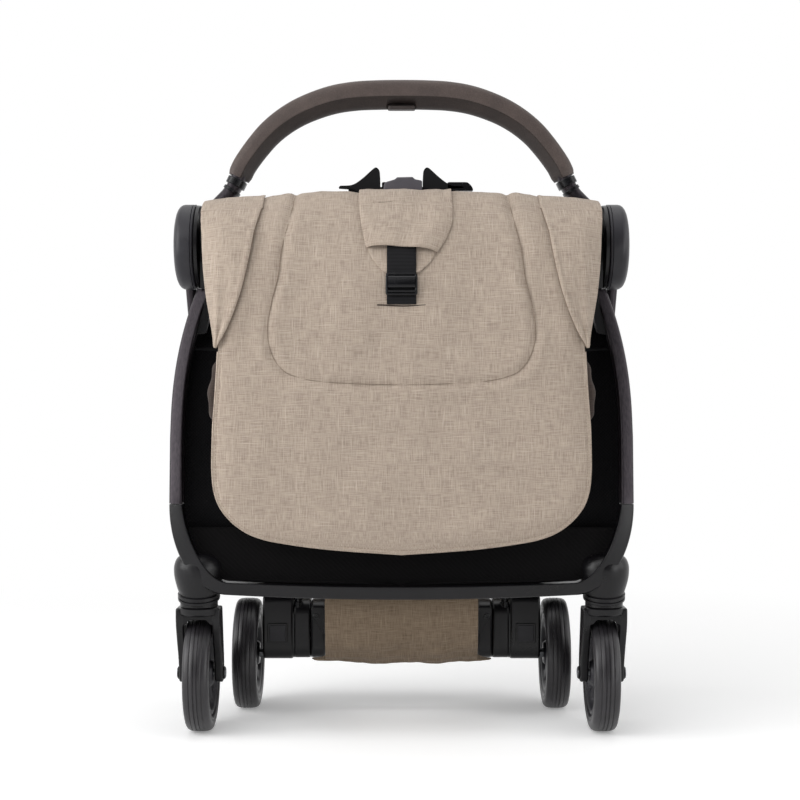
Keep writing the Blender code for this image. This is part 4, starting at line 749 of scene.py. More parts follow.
def makeCasters():
    c = caster
    top, y0, y1 = c["top"], hub["y"] + c["y"], hub["y"] + c["axleY"]
    low, start = top + 0.0022, c["inner"] + c["thick"]
    leg = rounded([(y0 - 0.0125, top - 0.0005), (y0 - 0.0125, top - 0.018),
        (y1 - 0.0105, c["axleZ"] + 0.01), (y1 - 0.01, c["axleZ"] - 0.0095),
        (y1 + 0.0095, c["axleZ"] - 0.0095), (y1 + 0.01, c["axleZ"] + 0.012), (y0 + 0.0172, top - 0.012),
        (y0 + 0.014, top - 0.0005)], [0.003, 0.012, 0.012, 0.009, 0.009, 0.012, 0.01, 0.003], 7)
    crown = np.add([top, 0], [(-0.0002, 0.0004), (-0.0002, 0.0216), (-0.001, 0.0226), (-0.006, 0.0224),
        (-0.0082, 0.0206), (-0.0088, 0.018), (-0.0088, 0.0004)])
    apron = np.array([(0.016, -0.003), (0.016, -0.018), (0.0128, -0.0172), (0.0088, -0.0128)])
    apron = np.concatenate([apron, apron[::-1] * [-1, 1]])
    nut = np.add([start, 0], [(0, 0.0005), (0, 0.0066), (0.0012, 0.0068), (0.0022, 0.006), (0.0026, 0.004),
        (0.0022, 0.003), (0.0022, 0.0005)])
    # The housing: two rim rings, a barrel and a ball-shaped top that tucks behind the bar
    ball = smoothLine([(0.0086, 0.0208), (0.015, 0.0226), (0.024, 0.0248), (0.033, 0.026), (0.042, 0.0256),
        (0.049, 0.0225), (0.053, 0.016), (0.0545, 0.008), (0.0548, 0.0004)], 40)
    barrel = [(0, 0.0004), (0, 0.0206), (0.0008, 0.0218), (0.003, 0.022), (0.0036, 0.0208),
        (0.0043, 0.0208), (0.0049, 0.022), (0.0076, 0.0221), (0.0082, 0.0206)]
    housing = np.concatenate([barrel, ball]) + [low, 0]
    neck = np.add([low, 0], [(-0.0016, 0.0004), (-0.0016, 0.0196), (0.018, 0.0196), (0.018, 0.0004)])
    for name, side in sides:
        x, body = side * c["x"], f"caster_{name}"
        for k, out in enumerate((-1, 1)):
            slabPiece(f"forkLeg_{name}_{k}", leg, x + out * c["inner"], x + out * start, "moulded", body,
                soften=0.0016, stands=[] if k else [f"caster_fork_{name}"])
        ringPiece(f"forkCrown_{name}", turn(crown, (x, y0), "Z", 72), "moulded", body)
        # In front of the tyre a short apron joins the legs
        slabPiece(f"forkApron_{name}", rounded(apron + [x, top], 0.0012), y0 - 0.012, y0 - 0.0035,
            "moulded", body, axis="Y", soften=0.0008)
        for k, out in enumerate((-1, 1)):
            ringPiece(f"axleCap_{name}_{k}", turn(sided(nut, out) + [x, 0], (y1, c["axleZ"]), "X", 48),
                "moulded", body)
        # The rim rings slope up to the rear, less and less over 35 mm of height
        rings = turn(housing, (x, y0), "Z", 80)
        rings[..., 2] += c["lean"] * (rings[..., 1] - y0 + 0.022) * share(1 - (rings[..., 2] - low) / 0.035)
        ringPiece(f"casterHousing_{name}", rings, "moulded", "front_frame", sharp=50,
            stands=[f"swivel_housing_{name}"])
        ringPiece(f"casterNeck_{name}", turn(neck, (x, y0), "Z", 64), "moulded", "front_frame")


rearFoot = dict(blockIn=0.1025, blockOut=0.156, front=0.056, rear=0.106, top=0.13, axleZ=0.062, axleY=0.083,
    seam=0.1215, pedal=0.0165, lowTop=0.1205)


def makeRearFeet():
    f = rearFoot
    y0, y1, yA = (hub["y"] + f[key] for key in ("front", "rear", "axleY"))
    z0, top, lowTop, seam, blockIn = f["axleZ"], f["top"], f["lowTop"], f["seam"], f["blockIn"]
    # Side outlines of block, sleeve and pedal, in depth and height
    outline = rounded([(y0, top), (y0, z0 - 0.004), (y1, z0 - 0.006), (y1, top - 0.004)],
        [0.008, 0.016, 0.012, 0.016], 8)
    small = rounded([(y0 + 0.001, lowTop), (y0 + 0.001, z0 - 0.003), (y1 - 0.001, z0 - 0.005),
        (y1 - 0.001, top - 0.006), (y0 + 0.022, top - 0.003)], [0.012, 0.016, 0.012, 0.016, 0.014], 8)
    pedal = rounded([(y0 + 0.0008, lowTop - 0.001), (y0 + 0.0008, z0 - 0.002), (yA + 0.012, z0 - 0.006),
        (yA + 0.05, z0 + 0.024), (yA + 0.0505, z0 + 0.034), (yA + 0.018, top - 0.014),
        (y0 + 0.024, top - 0.004)], [0.01, 0.014, 0.014, 0.005, 0.005, 0.02, 0.014], 8)
    knob = np.add([lowTop, 0], [(-0.004, 0.0004), (-0.004, 0.0052), (0.002, 0.005), (0.0026, 0.004),
        (0.005, 0.0042), (0.0056, 0.0054), (0.0086, 0.0054), (0.0094, 0.0042), (0.0094, 0.0004)])
    screw = np.add([y0, 0], [(0.003, 0.0003), (0.003, 0.0036), (-0.0014, 0.0036), (-0.002, 0.003),
        (-0.002, 0.0016), (-0.001, 0.0012), (-0.001, 0.0003)])
    frontOf, rearOf = blockIn - 0.0012, blockIn - f["pedal"] + 0.0006
    for name, side in sides:
        brake = f"brake_{name}"
        slabs = (("brakeBlock", outline, f["blockOut"], seam + 0.0006, "moulded", "rear_frame", 0.0022,
            "axle_block"), ("brakeSleeve", small, seam - 0.0006, blockIn + 0.0002, "moulded", "rear_frame",
            0.0018, None), ("brakeSeam", small, seam + 0.0012, seam - 0.0012, "gloss", "rear_frame", 0.0004,
            None), ("brakePedal", pedal, blockIn - 0.0003, blockIn - 0.0003 - f["pedal"], "moulded", brake,
            0.0028, "brake_pedal"))
        for piece, shape, a, b, look, body, soften, node in slabs:
            slabPiece(f"{piece}_{name}", shape, side * a, side * b, look, body, soften=soften,
                stands=[f"{node}_{name}"] if node else [])
        # A square window frame on the block's front, and a round boss beside it on the sleeve
        for k, (size, deep, look) in enumerate(((0.0112, 0.0012, "moulded"), (0.009, 0.0016, "hub"))):
            midX, midZ = side * 0.1393, 0.0882
            square = rectangle(midX - size, midX + size, midZ - size, midZ + size, 0.0018)
            slabPiece(f"blockWindow_{name}_{k}", square, y0 - deep, y0 + 0.001, look, "rear_frame",
                axis="Y", soften=0.0006)
        # A raised plate across the pedal's front ends in a slant, and a shelf lies over the block
        plate = rounded(sided([(frontOf, lowTop - 0.004), (rearOf, lowTop - 0.004), (rearOf, 0.0865),
            (frontOf, 0.1085)], side), [0.003, 0.003, 0.002, 0.002])
        slabPiece(f"pedalPlate_{name}", plate, y0 - 0.0008, y0 + 0.004, "moulded", brake, axis="Y",
            soften=0.0009)
        shelf = rectangle(side * 0.124, side * 0.153, y0 - 0.003, y1 - 0.012, 0.004)
        slabPiece(f"blockShelf_{name}", shelf, top + 0.0002, top + 0.0028, "moulded", "rear_frame",
            axis="Z", soften=0.0007)
        ringPiece(f"blockKnob_{name}", turn(knob, (side * 0.1163, y0 + 0.007), "Z", 40), "gloss",
            "rear_frame")
        ringPiece(f"pedalScrew_{name}", turn(screw, (side * (blockIn - 0.0066), 0.1068), "Y", 32), "gloss",
            brake)
        shoe = rounded(sided([(0.124, top + 0.0003), (0.216, top + 0.004), (0.2185, 0.156), (0.215, 0.159),
            (0.196, 0.159), (0.17, 0.149), (0.126, 0.139)], side),
            [0.002, 0.004, 0.004, 0.003, 0.012, 0.02, 0.004], 7)
        slabPiece(f"legShoe_{name}", shoe, y0 + 0.002, y1 - 0.01, "moulded", "rear_frame", axis="Y",
            soften=0.002, stands=[f"rear_leg_shoe_{name}"])
        path = smoothLine(sided(np.add([0, hub["y"], 0], [(0.2309, 0.0165, 0.4765),
            (0.2198, 0.0435, 0.3148), (0.209, 0.0695, 0.1593)]), side), 24)
        rings = sweep(path, oval(0.012, 0.018, 2.8, 32))
        rings[0, :, 2], rings[-1, :, 2] = 0.4765, 0.1593
        ringPiece(f"rearLeg_{name}", rings, "tube", "rear_frame", stands=[f"rear_leg_{name}"])


for sideName, sideSign in sides:
    for wheelEnd in ("front", "rear"):
        makeWheel(wheelEnd, sideName, sideSign)
makeCasters()
makeRearFeet()
print("wheels and feet made")


# How far the roll's crown falls below its middle, by distance from the middle
crownFall = np.array([(0, 0.001), (0.045, 0.0012), (0.057, -0.0008), (0.085, 0.0004), (0.108, 0.003),
    (0.113, 0.0052), (0.118, 0.004), (0.138, 0.0042), (0.15, 0.0072), (0.19, 0.0094), (0.216, 0.0108)])

backPanel = dict(path=[(0.0019, 0.5517), (-0.0034, 0.5621), (-0.0143, 0.568), (-0.029, 0.565),
    (-0.049, 0.5505), (-0.069, 0.525), (-0.085, 0.49), (-0.094, 0.45), (-0.0965, 0.4), (-0.0968, 0.345),
    (-0.0968, 0.29), (-0.0966, 0.255), (-0.0962, 0.232), (-0.0958, 0.2145), (-0.0955, 0.2025),
    (-0.0955, 0.1925)], halfWidth=[(0.186, 0.6), (0.186, 0.5), (0.186, 0.45), (0.1868, 0.42), (0.188, 0.4),
    (0.1906, 0.355), (0.1928, 0.325), (0.1936, 0.3), (0.1936, 0.275), (0.1918, 0.258), (0.187, 0.243),
    (0.18, 0.2325), (0.17, 0.2225), (0.158, 0.2145), (0.141, 0.208), (0.118, 0.2035), (0.085, 0.199),
    (0.046, 0.1955), (0.02, 0.1938), (0.0, 0.1925)], thick=0.0128, edge=0.0024,
    seam=[(-0.113, 0.564), (-0.118, 0.533), (-0.1235, 0.506), (-0.1275, 0.473), (-0.133, 0.45),
    (-0.1368, 0.427), (-0.1362, 0.41), (-0.129, 0.39), (-0.119, 0.379), (-0.106, 0.3735), (-0.094, 0.3708),
    (-0.05, 0.3672), (0.0, 0.366)])


def distanceTo(line, x, z):
    # Least distance from each (x, z) to a polyline, segment by segment as whole arrays
    a, b = line[:-1], line[1:]
    d = b - a
    px, pz = x[..., None] - a[:, 0], z[..., None] - a[:, 1]
    t = share((px * d[:, 0] + pz * d[:, 1]) / np.maximum((d**2).sum(1), 1e-12))
    return np.sqrt((px - t * d[:, 0]) ** 2 + (pz - t * d[:, 1]) ** 2).min(-1)


panelLine = smoothLine(np.array(backPanel["path"]) + [hub["y"], 0], 400)
panelOut, panelPlace = squareTo(panelLine), np.arange(400.0)
frontRows = panelLine[:, 1] == np.minimum.accumulate(panelLine[:, 1])
frontRows = np.flatnonzero(frontRows & (panelPlace > np.argmax(panelLine[:, 1])))[::-1]
outlineHalf = smoothLine(np.array(backPanel["halfWidth"]), 300)


def padHalf(x, z):
    # Half the pad's thickness: full inside, falling over the last 26 mm to the sewn edge
    reach = np.interp(z, outlineHalf[::-1, 1], outlineHalf[::-1, 0])
    rim = np.clip(distanceTo(np.concatenate([outlineHalf[::3], outlineHalf[-1:]]), np.abs(x), z), 0, None)
    rim = np.where(z > 0.5, np.clip(reach - np.abs(x), 0, None), rim)
    rise = 1 - (1 - share(rim / 0.026)) ** 2.2
    return backPanel["edge"] / 2 + (backPanel["thick"] - backPanel["edge"]) / 2 * rise, rim


def crownDrop(x, z):
    return np.interp(np.abs(x), crownFall[:, 0], crownFall[:, 1]) * share((z - 0.52) / 0.045)


def panelAt(index):
    # Depth, height and the way out, by place along the pad's whole path
    return (np.interp(index, panelPlace, values) for values in (*panelLine.T, *panelOut.T))


def onRoll(x, index, off):
    # A point off outside the pad's face, by its place along the whole path, also over the roll
    y, z, oy, oz = panelAt(np.broadcast_to(index, x.shape))
    lift = backPanel["thick"] / 2 + off
    return np.stack([x, y + oy * lift, z + oz * lift - crownDrop(x, z)], -1)


def onPanel(x, z, off):
    # A point off in front of the pad's face. z is taken on the pad's middle line
    y, zz = panelLine[frontRows].T
    oy, oz = (np.interp(z, zz, out) for out in panelOut[frontRows].T)
    lift = padHalf(x, z)[0] + off
    return np.stack([x, np.interp(z, zz, y) + oy * lift, z + oz * lift - crownDrop(x, z)], -1)


def alongPad(table, rows, over, extra):
    # Rows by height from a table, and their places along the pad's path. The extra rows run back
    # over the roll's crown
    line = smoothLine(np.array(table), rows)
    index = np.interp(line[:, 0], panelLine[frontRows, 1], frontRows)
    if over:
        index = np.concatenate([np.linspace(index[0] - over, index[0], extra, endpoint=False), index])
        line = np.concatenate([np.repeat(line[:1], extra, 0), line])
    return line, index


def softFolds(x, z):
    # Low waves of several lengths that never line up, as on cloth over foam
    return (np.sin(58 * x + 31 * z + 1.3) * np.sin(23 * x - 47 * z + 0.4) + 0.6 * np.sin(97 * x - 26 * z
        + 2.1) * np.sin(41 * z + 13 * x + 0.7) + 0.35 * np.sin(160 * x + 90 * z) * np.sin(75 * x - 140 * z
        + 1.9))


def shadeLine(name, path, width, deep):
    # Painted shade at the bottom of a sewn groove: a narrow flat cord let into the cloth, coloured as linen
    # in shadow
    cord = sweep(path, oval(width, deep, 2.0, 6))
    return ringPiece(name, cord, "grooveShade", "backrest")


def makeBackPanel():
    b = backPanel
    rows, cols = 226, 211
    t = np.linspace(0, 1, rows)
    index = np.interp(1 - (1 - t) ** 1.35, np.linspace(0, 1, 400), panelPlace)
    y, z, oy, oz = panelAt(index)
    half = np.interp(z, outlineHalf[::-1, 1], outlineHalf[::-1, 0])
    half[-1] = 0.012
    u = np.sin(np.linspace(-math.pi / 2, math.pi / 2, cols) * 0.86) / math.sin(math.pi / 2 * 0.86)
    x = half[:, None] * u[None]
    zz = z[:, None] + 0 * x
    thick, rim = padHalf(x, zz)
    thick *= share(0.35 + 0.65 * (index / 26))[:, None]
    line = smoothLine(b["seam"], 160)
    seam = np.concatenate([line, line[::-1] * [-1, 1]])
    toSeam = distanceTo(seam, x, zz)
    front = (np.arange(rows) > np.argmax(z))[:, None]
    slit = np.sqrt((np.clip(np.abs(x) - 0.024, 0, None)) ** 2 + (zz - 0.447) ** 2)
    # Grooves at the seam, the hem and the strap's slit; the pad swells a little either side
    dent = -0.0015 * bell(toSeam, 0.0034) + 0.0008 * bell(toSeam - 0.01, 0.006)
    dent += -0.0005 * bell(rim - 0.0034, 0.0014) + 0.0003 * bell(rim, 0.003)
    dent += -0.0016 * bell(slit, 0.0022) - 0.001 * bell(slit, 0.012)
    dent += 0.00065 * softFolds(x, zz) * share(rim / 0.02)
    # Shallow sags hang between the wings and the strap, and a crease runs out from the slit
    dent += 0.0009 * np.sin(np.abs(x) * 34 + 0.6) * np.sin((zz - 0.4) * 24) * share((zz - 0.36) / 0.1)
    dent -= 0.0007 * bell(zz - 0.444 + 0.05 * np.abs(x), 0.003) * bell(np.abs(x) - 0.05, 0.03)
    # Puckers cross the seam and fade within 14 mm of it
    along = np.arctan2(zz - 0.47, np.abs(x) + 0.001) * 0.16
    dent += 0.00028 * np.sin(along / 0.0042 * math.tau / 6) * bell(toSeam, 0.011)
    # Drag lines fall away from under the wings' inner folds
    pull = share(1 - np.abs(np.abs(x) - 0.15 + (zz - 0.45) * 0.22) / 0.05)
    drag = np.sin((np.abs(x) * 0.9 + zz * 0.3) / 0.017 * math.tau / 2)
    dent += 0.0007 * pull * drag * share((zz - 0.36) / 0.1)
    grow = (thick + dent * front)
    fall = crownDrop(x, zz)
    face = np.stack([x, y[:, None] + oy[:, None] * grow, zz + oz[:, None] * grow - fall], -1)
    rear = np.stack([x, y[:, None] - oy[:, None] * thick, zz - oz[:, None] * thick - fall * 0.6], -1)
    uv = lengthsAlong(np.stack([x, y[:, None] + 0 * x, zz], -1))
    uv[..., 0] = x
    piece = twoSkins("backPad", face, rear, uv, "linen", "backrest", sharp=70, stands=["backrest_panel"])

    flatSeam = smoothLine(seam, 200)
    points = onPanel(flatSeam[:, 0], flatSeam[:, 1], -0.0012)
    stitchPiece("backPadStitches", points - [0, 0.0003, 0], np.tile([0, -1, 0.0], (200, 1)), "stitch",
        "backrest")
    shadeLine("backSeamShade", smoothLine(points + [0, 0.0003, 0], 400), 0.0006, 0.0014)
    half = outlineHalf[(outlineHalf[:, 1] < 0.4)]
    loop = np.concatenate([half, half[::-1] * [-1, 1]])
    inward = squareTo(loop)
    rimLine = onPanel(loop[:, 0], loop[:, 1], 0.0)
    loop = loop + inward * 0.0034
    points = onPanel(loop[:, 0], loop[:, 1], -0.0004)
    stitchPiece("backHemStitches", points, np.tile([0, -1, 0.0], (len(loop), 1)), "stitch", "backrest")
    cord = sweep(smoothLine(rimLine + [0, 0.0006, 0], 400), oval(0.0026, 0.003, 2.0, 10))
    ringPiece("backRimCord", cord, "linen", "backrest", weave=cord[..., [0, 2]])
    # Painted shade inside the strap's slit: a dark cord in the dark thread colour
    slot = np.stack([np.linspace(-0.025, 0.0262, 60), np.full(60,
        0.4466) + 0.0006 * np.cos(np.linspace(0, 6, 60))], 1)
    points = onPanel(slot[:, 0], slot[:, 1], -0.0017)
    ringPiece("slitShade", sweep(points, oval(0.0012, 0.001, 2.0, 8)), "darkThreadAndSlitShade", "backrest")


wing = dict(rows=[(0.564, 0.1462, 0.2116), (0.554, 0.1472, 0.2114), (0.541, 0.149, 0.2106),
    (0.528, 0.1516, 0.2092), (0.489, 0.1578, 0.2058), (0.458, 0.165, 0.2015), (0.436, 0.1728, 0.1972),
    (0.42, 0.1802, 0.1942), (0.4036, 0.19, 0.1918)], thick=0.0024, lift=0.003, over=34)


def makeWings():
    w = wing
    extra = 24
    line, index = alongPad(w["rows"], 100, w["over"], extra)
    z, inner, outer = line.T
    f = np.linspace(0, 1, 60)[None]
    x = inner[:, None] + (outer - inner)[:, None] * f
    zz = z[:, None] + 0 * x
    run = x - inner[:, None]
    # How far down the face a row lies, from 0 on the crown to 1 at 45 mm below it
    down = share((0.566 - zz) / 0.075)
    down = down * down * (3 - 2 * down)
    off = w["lift"] * (0.5 + 0.5 * down) + 0.0006 * softFolds(x * 1.7, zz) * (0.4 + 0.6 * down)
    # A soft roll stands along the inner fold; two folds run down to the point
    off = off + 0.0016 * bell(run - 0.0022, 0.003) * (0.3 + 0.7 * down)
    off += 0.0022 * np.sin(f * math.pi) * share((outer - inner)[:, None] / 0.04) * down
    off += 0.0018 * bell(f - 0.66, 0.1) * share((0.53 - zz) / 0.08)
    off -= 0.001 * bell(f - 0.4, 0.1) * share((0.5 - zz) / 0.08)
    # Lower down the cloth lies on the pad's thinner rim, and past the rim it falls back
    rimDrop = np.clip(backPanel["thick"] / 2 - padHalf(np.minimum(x, 0.1855), zz)[0], 0, None)
    off = off - rimDrop * share((0.53 - zz) / 0.06)
    past = np.clip(x - 0.1855, 0, None)
    off = off - past * 0.1 * (1 - down)
    base = onRoll(x, index[:, None], off)
    base[..., 1] += (past * 0.45 + past**2 * 8) * down
    for name, side in sides:
        grid = base * [side, 1, 1]
        clothPiece(f"wing_{name}", grid, w["thick"], "linen", "backrest", "folded", ["backrest_panel"],
            roll=3, sharp=70, stands=[f"side_wing_{name}"])
        # The fold's shadow on the pad
        edge = grid[extra:, 0] + [-0.0004 * side, 0.0016, 0]
        shadeLine(f"wingShade_{name}", smoothLine(edge, 200), 0.0012, 0.0012)


flap = dict(hood=[(0.564, -0.0452, 0.053), (0.554, -0.0446, 0.0534), (0.54, -0.0434, 0.0532),
    (0.53, -0.042, 0.0522), (0.518, -0.0396, 0.047), (0.504, -0.0363, 0.0372)], hang=-0.0046,
    tongue=[(0.513, -0.0352, 0.0372), (0.4995, -0.0332, 0.0348), (0.491, -0.0288, 0.0308),
    (0.485, -0.0235, 0.025), (0.4815, -0.0195, 0.021), (0.479, -0.0155, 0.017)])


def clothOnPad(name, table, lift, thick, puff, over=0, hang=0.0, **more):
    # Cloth on the pad between a left and a right edge by height, puffed in its middle. hang lowers
    # its hem towards the right as u^2
    line, index = alongPad(table, 60, over, 20)
    u = np.linspace(0, 1, 71)[None]
    x = line[:, 1:2] * (1 - u) + line[:, 2:3] * u
    z = line[:, :1] + 0 * x
    v = share((index - index[0]) / (index[-1] - index[0]))[:, None]
    shift, start = (np.interp(h, panelLine[frontRows, 1], frontRows) for h in (z + hang * u**2 * v**4, z))
    edge = 1 - np.abs(2 * u - 1) ** 5
    off = lift + puff * edge * v**1.6
    off = off + 0.0006 * softFolds(x * 2.2, z * 2.0) + 0.0009 * edge * np.sin(x * 120 + v * 5) * v
    clothPiece(name, onRoll(x, index[:, None] + (shift - start), off), thick, "linen", "backrest", "folded",
        ["backrest_panel"], roll=2, sharp=70, **more)


def makeStrap():
    clothOnPad("strapTongue", flap["tongue"], 0.0016, 0.0022, 0.0012)
    clothOnPad("strapHood", flap["hood"], 0.0026, 0.0024, 0.0064, 30, flap["hang"], stands=["strap_flap"])

    # The webbing drops from under the hood, over the tongue, and in at the slit
    z = np.array([0.512, 0.505, 0.497, 0.489, 0.482, 0.476, 0.47, 0.46, 0.453, 0.4477])
    off = np.array([0.005, 0.0054, 0.0054, 0.005, 0.0044, 0.0038, 0.003, 0.0026, 0.002, -0.0004])
    middle = onPanel(0 * z, z, off)
    middle = smoothLine(middle, 60)
    u = np.linspace(-0.0151, 0.0151, 25)
    grid = middle[:, None] + np.stack([u, 0 * u, 0 * u], -1)[None]
    clothPiece("strapWebbing", grid, 0.0017, "webbing", "backrest", "stretched", ["strap_slider"], roll=1,
        stands=["recline_strap"])

    # A three-bar slider: a rounded frame with two slots, its bars thick and round
    z = np.linspace(0.4548, 0.478, 40)
    face = onPanel(0 * z, z, 0.0052)
    tilt = face[-1] - face[0]
    tilt /= np.linalg.norm(tilt)
    away = np.cross(tilt, [1, 0, 0])
    away = away if away[1] < 0 else -away
    centre = (face[0] + face[-1]) / 2
    tall = 0.024

    def place(points):
        p = np.asarray(points, float)
        return centre + p[:, :1] * [[1, 0, 0]] + p[:, 1:2] * tilt + p[:, 2:3] * away

    loop = rectangle(-0.015, 0.015, -tall / 2 + 0.0014, tall / 2 - 0.0012, 0.0022, 6)
    loop = np.concatenate([loop, loop[:1]])
    path = place(np.concatenate([loop, np.zeros((len(loop), 1))], 1))
    rings = sweep(path, oval(0.0028, 0.0036, 2.4, 20), up=away)[:-1]
    ringPiece("sliderFrame", rings, "gloss", "strap_slider", closed=True, stands=["strap_slider"])
    # The webbing wraps the middle bar in a wide round band, with a thin bar under it
    for k, (v, deep, wide, thick) in enumerate(((0.0022, 0.0018, 0.0128, 0.005),
            (-0.0078, 0.001, 0.0026, 0.0034))):
        bar = place([(-0.014, v, deep), (-0.005, v, deep), (0.005, v, deep), (0.014, v, deep)])
        band = sweep(bar, oval(wide, thick, 2.2, 28), up=away)
        ringPiece(f"sliderBar_{k}", band, "gloss", "strap_slider", weave=band[..., [0, 2]])


cushions = dict(backPadInner=dict(node="backrest_pad", y=-0.088 + 0.0032 + 0.0003 + 0.0031, top=0.408,
    low=0.217, half=0.168, thick=0.0062, channels=(0.36, 0.28), body="backrest"),
    seatCushion=dict(node="seat_pad", y=-0.0618 - 0.0003 - 0.00675, top=0.493, low=0.278, half=0.171,
    thick=0.0132, channels=(0.44, 0.385, 0.33), body="seat"),
    legCushion=dict(node="leg_rest_pad", y=-0.058 - 0.0055, top=0.274, low=0.219, half=0.12, thick=0.0106,
    channels=(0.246,), body="leg_rest"))


def makeCushion(name, c, look):
    # Two crowned skins: crown falls as u^4 and v^4, sides draw in between the corners
    rows, cols = 70, 90
    u, v = np.linspace(-1, 1, cols)[None], np.linspace(-1, 1, rows)[:, None]
    z = (c["top"] + c["low"]) / 2 - v * (c["top"] - c["low"]) / 2 * (1 - 0.01 * (1 - u**2))
    x = u * c["half"] * (1 - 0.012 * (1 - v**2)) * (1 - 0.06 * np.clip(np.abs(v) - 0.86, 0, None) / 0.14)
    crown = (1 - np.abs(u) ** 6) ** 0.5 * (1 - np.abs(v) ** 6) ** 0.5
    thick = c["thick"] / 2 * (0.18 + 0.78 * crown)
    groove = bell(z[..., None] - np.array(c["channels"]), 0.0022).sum(-1) * crown
    thick = thick * (1 - 0.3 * groove) + 0.0002 * softFolds(x * 1.4, z) * crown
    y = hub["y"] + c["y"] + 0 * x
    middle = np.stack([x, y, z + 0 * x], -1)
    swell = [0, 1, 0] * thick[..., None]
    piece = twoSkins(name, middle - swell, middle + swell, middle[..., [0, 2]], look, c["body"], sharp=70,
        stands=[c["node"]])
    ring = middle.reshape(-1, 3)[rimOf(rows, cols)]
    ring = np.concatenate([ring, ring[:1]])
    cord = sweep(smoothLine(ring, 500), oval(0.0022, 0.0022, 2.0, 8))[:-1]
    ringPiece(f"{name}Piping", cord, look, c["body"], closed=True, weave=cord[..., [0, 2]])


def makeShadedLinerRolls():
    # The seat's edge rolled up behind the pad: an uneven upright roll, 18 mm across, drawn in the dark
    # taupe liner as painted shade on the beige seat side
    z = np.linspace(0.328, 0.394, 40)
    t = np.linspace(0, 1, 40)
    for name, side in sides:
        x = side * (0.1895 + 0.003 * np.sin(t * 5))
        path = np.stack([x, hub["y"] - 0.079 + 0.003 * np.sin(t * 7), z], 1)
        size = 0.0085 * np.sqrt(np.clip(1 - (2 * t - 1) ** 6, 0.02, 1)) * (1 + 0.1 * np.sin(t * 17))
        ring = oval(2.0, 1.5, 2.2, 28)[None] * size[:, None, None]
        piece = ringPiece(f"linerShadeRoll_{name}", sweep(path, ring), "liner", "backrest",
            weave=sweep(path, ring)[..., [0, 2]])


basket = dict(front=(-0.0645, 0.153), rear=(0.0555, 0.1235), half=0.0838, bottom=0.0652, thick=0.0016)


def makeBasket():
    # A slack sling: front edge to rear edge in depth, sagging to the bottom as sin^0.6
    b = basket
    rows, cols = 90, 90
    f = np.linspace(0, 1, rows)[:, None]
    u = np.linspace(-1, 1, cols)[None]
    (y0, z0), (y1, z1) = b["front"], b["rear"]
    straight = z0 + (z1 - z0) * f
    sag = np.sin(math.pi * np.clip(f, 0.0, 1.0)) ** 0.6
    lift = 0.0035 * np.abs(u) ** 3 + 0.001 * np.sin(u * 9 + 1) * (1 - u**2)
    z = straight + (b["bottom"] + 0.001 + lift - straight) * sag
    # Narrower in front; its slack bottom spreads out under the brake blocks
    spread = share((b["bottom"] + 0.007 - z) / 0.0045) * share((0.8 - f) / 0.1)
    x = u * (b["half"] - 0.0036 * (1 - f) + 0.026 * spread * spread * (3 - 2 * spread) * np.abs(u) ** 6)
    y = hub["y"] + y0 + (y1 - y0) * f + 0.0014 * softFolds(x * 1.3, z * 2 + f) * sag
    grid = np.stack([x, y + 0 * x, z + 0.0007 * softFolds(x * 1.8, f * 0.3) * sag], -1)
    bend = ("front_frame", "rear_frame", (0, hub["y"] + y0, z0), (0, hub["y"] + y1, z0))
    # The sling's darker linen is painted shade on the beige cloth
    clothPiece("basketSling", grid, b["thick"], "linenShade", bend, "hung", ["foot_bar"], roll=1, sharp=70,
        stands=["basket"])


canopy = dict(rear=18.0, front=22.5, reach=0.4, corner=0.11, half=0.1892, start=0.115, pleats=5, depth=0.04,
    spread=0.0085)


def makeCanopy():
    # The folded hood lies between its bows. f runs from the rear bow to the front one: the cloth
    # stays on the bows' outline and dips inwards as 1-cos, five times over
    c = canopy
    a = np.radians(np.linspace(0, 90, 14))
    corner = np.stack([c["half"] - c["corner"] * (1 - np.cos(a)),
        c["reach"] - c["corner"] * (1 - np.sin(a))], 1)
    half = np.concatenate([[(c["half"], c["start"]), (c["half"], 0.2)], corner,
        [(0.04, c["reach"]), (0.0, c["reach"])]])
    line = smoothLine(np.concatenate([half * [-1, 1], half[-2::-1]]), 150)
    inward = squareTo(line)
    f = np.linspace(0, 1, c["pleats"] * 16 + 1)[:, None]
    down = (line[:, 1] / c["reach"])[None]
    dip = 0.0015 + c["depth"] * down * (0.5 - 0.5 * np.cos(f * math.tau * c["pleats"]))
    dip = dip * (1 + 0.1 * np.sin(line[:, 0] * 31 + f * 9))
    x = line[None, :, 0] + inward[None, :, 0] * dip
    reach = line[None, :, 1] + inward[None, :, 1] * dip
    # The first and last rows lean out to the bows, which stand 2.25 degrees off the middle
    off = (f - 0.5) * c["spread"] + 0 * x
    off += np.sign(f - 0.5) * np.abs(2 * f - 1) ** 12 * (reach * 0.034 - c["spread"] / 2)
    angle = math.radians((c["rear"] + c["front"]) / 2)
    s, k = math.sin(angle), math.cos(angle)
    grid = np.stack([x, hub["y"] + reach * s + off * k, hub["z"] - reach * k + off * s], -1)
    low, high = ((0, hub["y"] + t * k, hub["z"] + t * s) for t in (-c["spread"] / 2, c["spread"] / 2))
    clothPiece("hoodCloth", grid, 0.0007, "linen", ("canopy_rear", "canopy_front", low, high), "gathered",
        ["canopy_rear_bow"], sharp=75, stands=["canopy_cloth"])


harness = dict(y=0.0093, ear=0.0045)


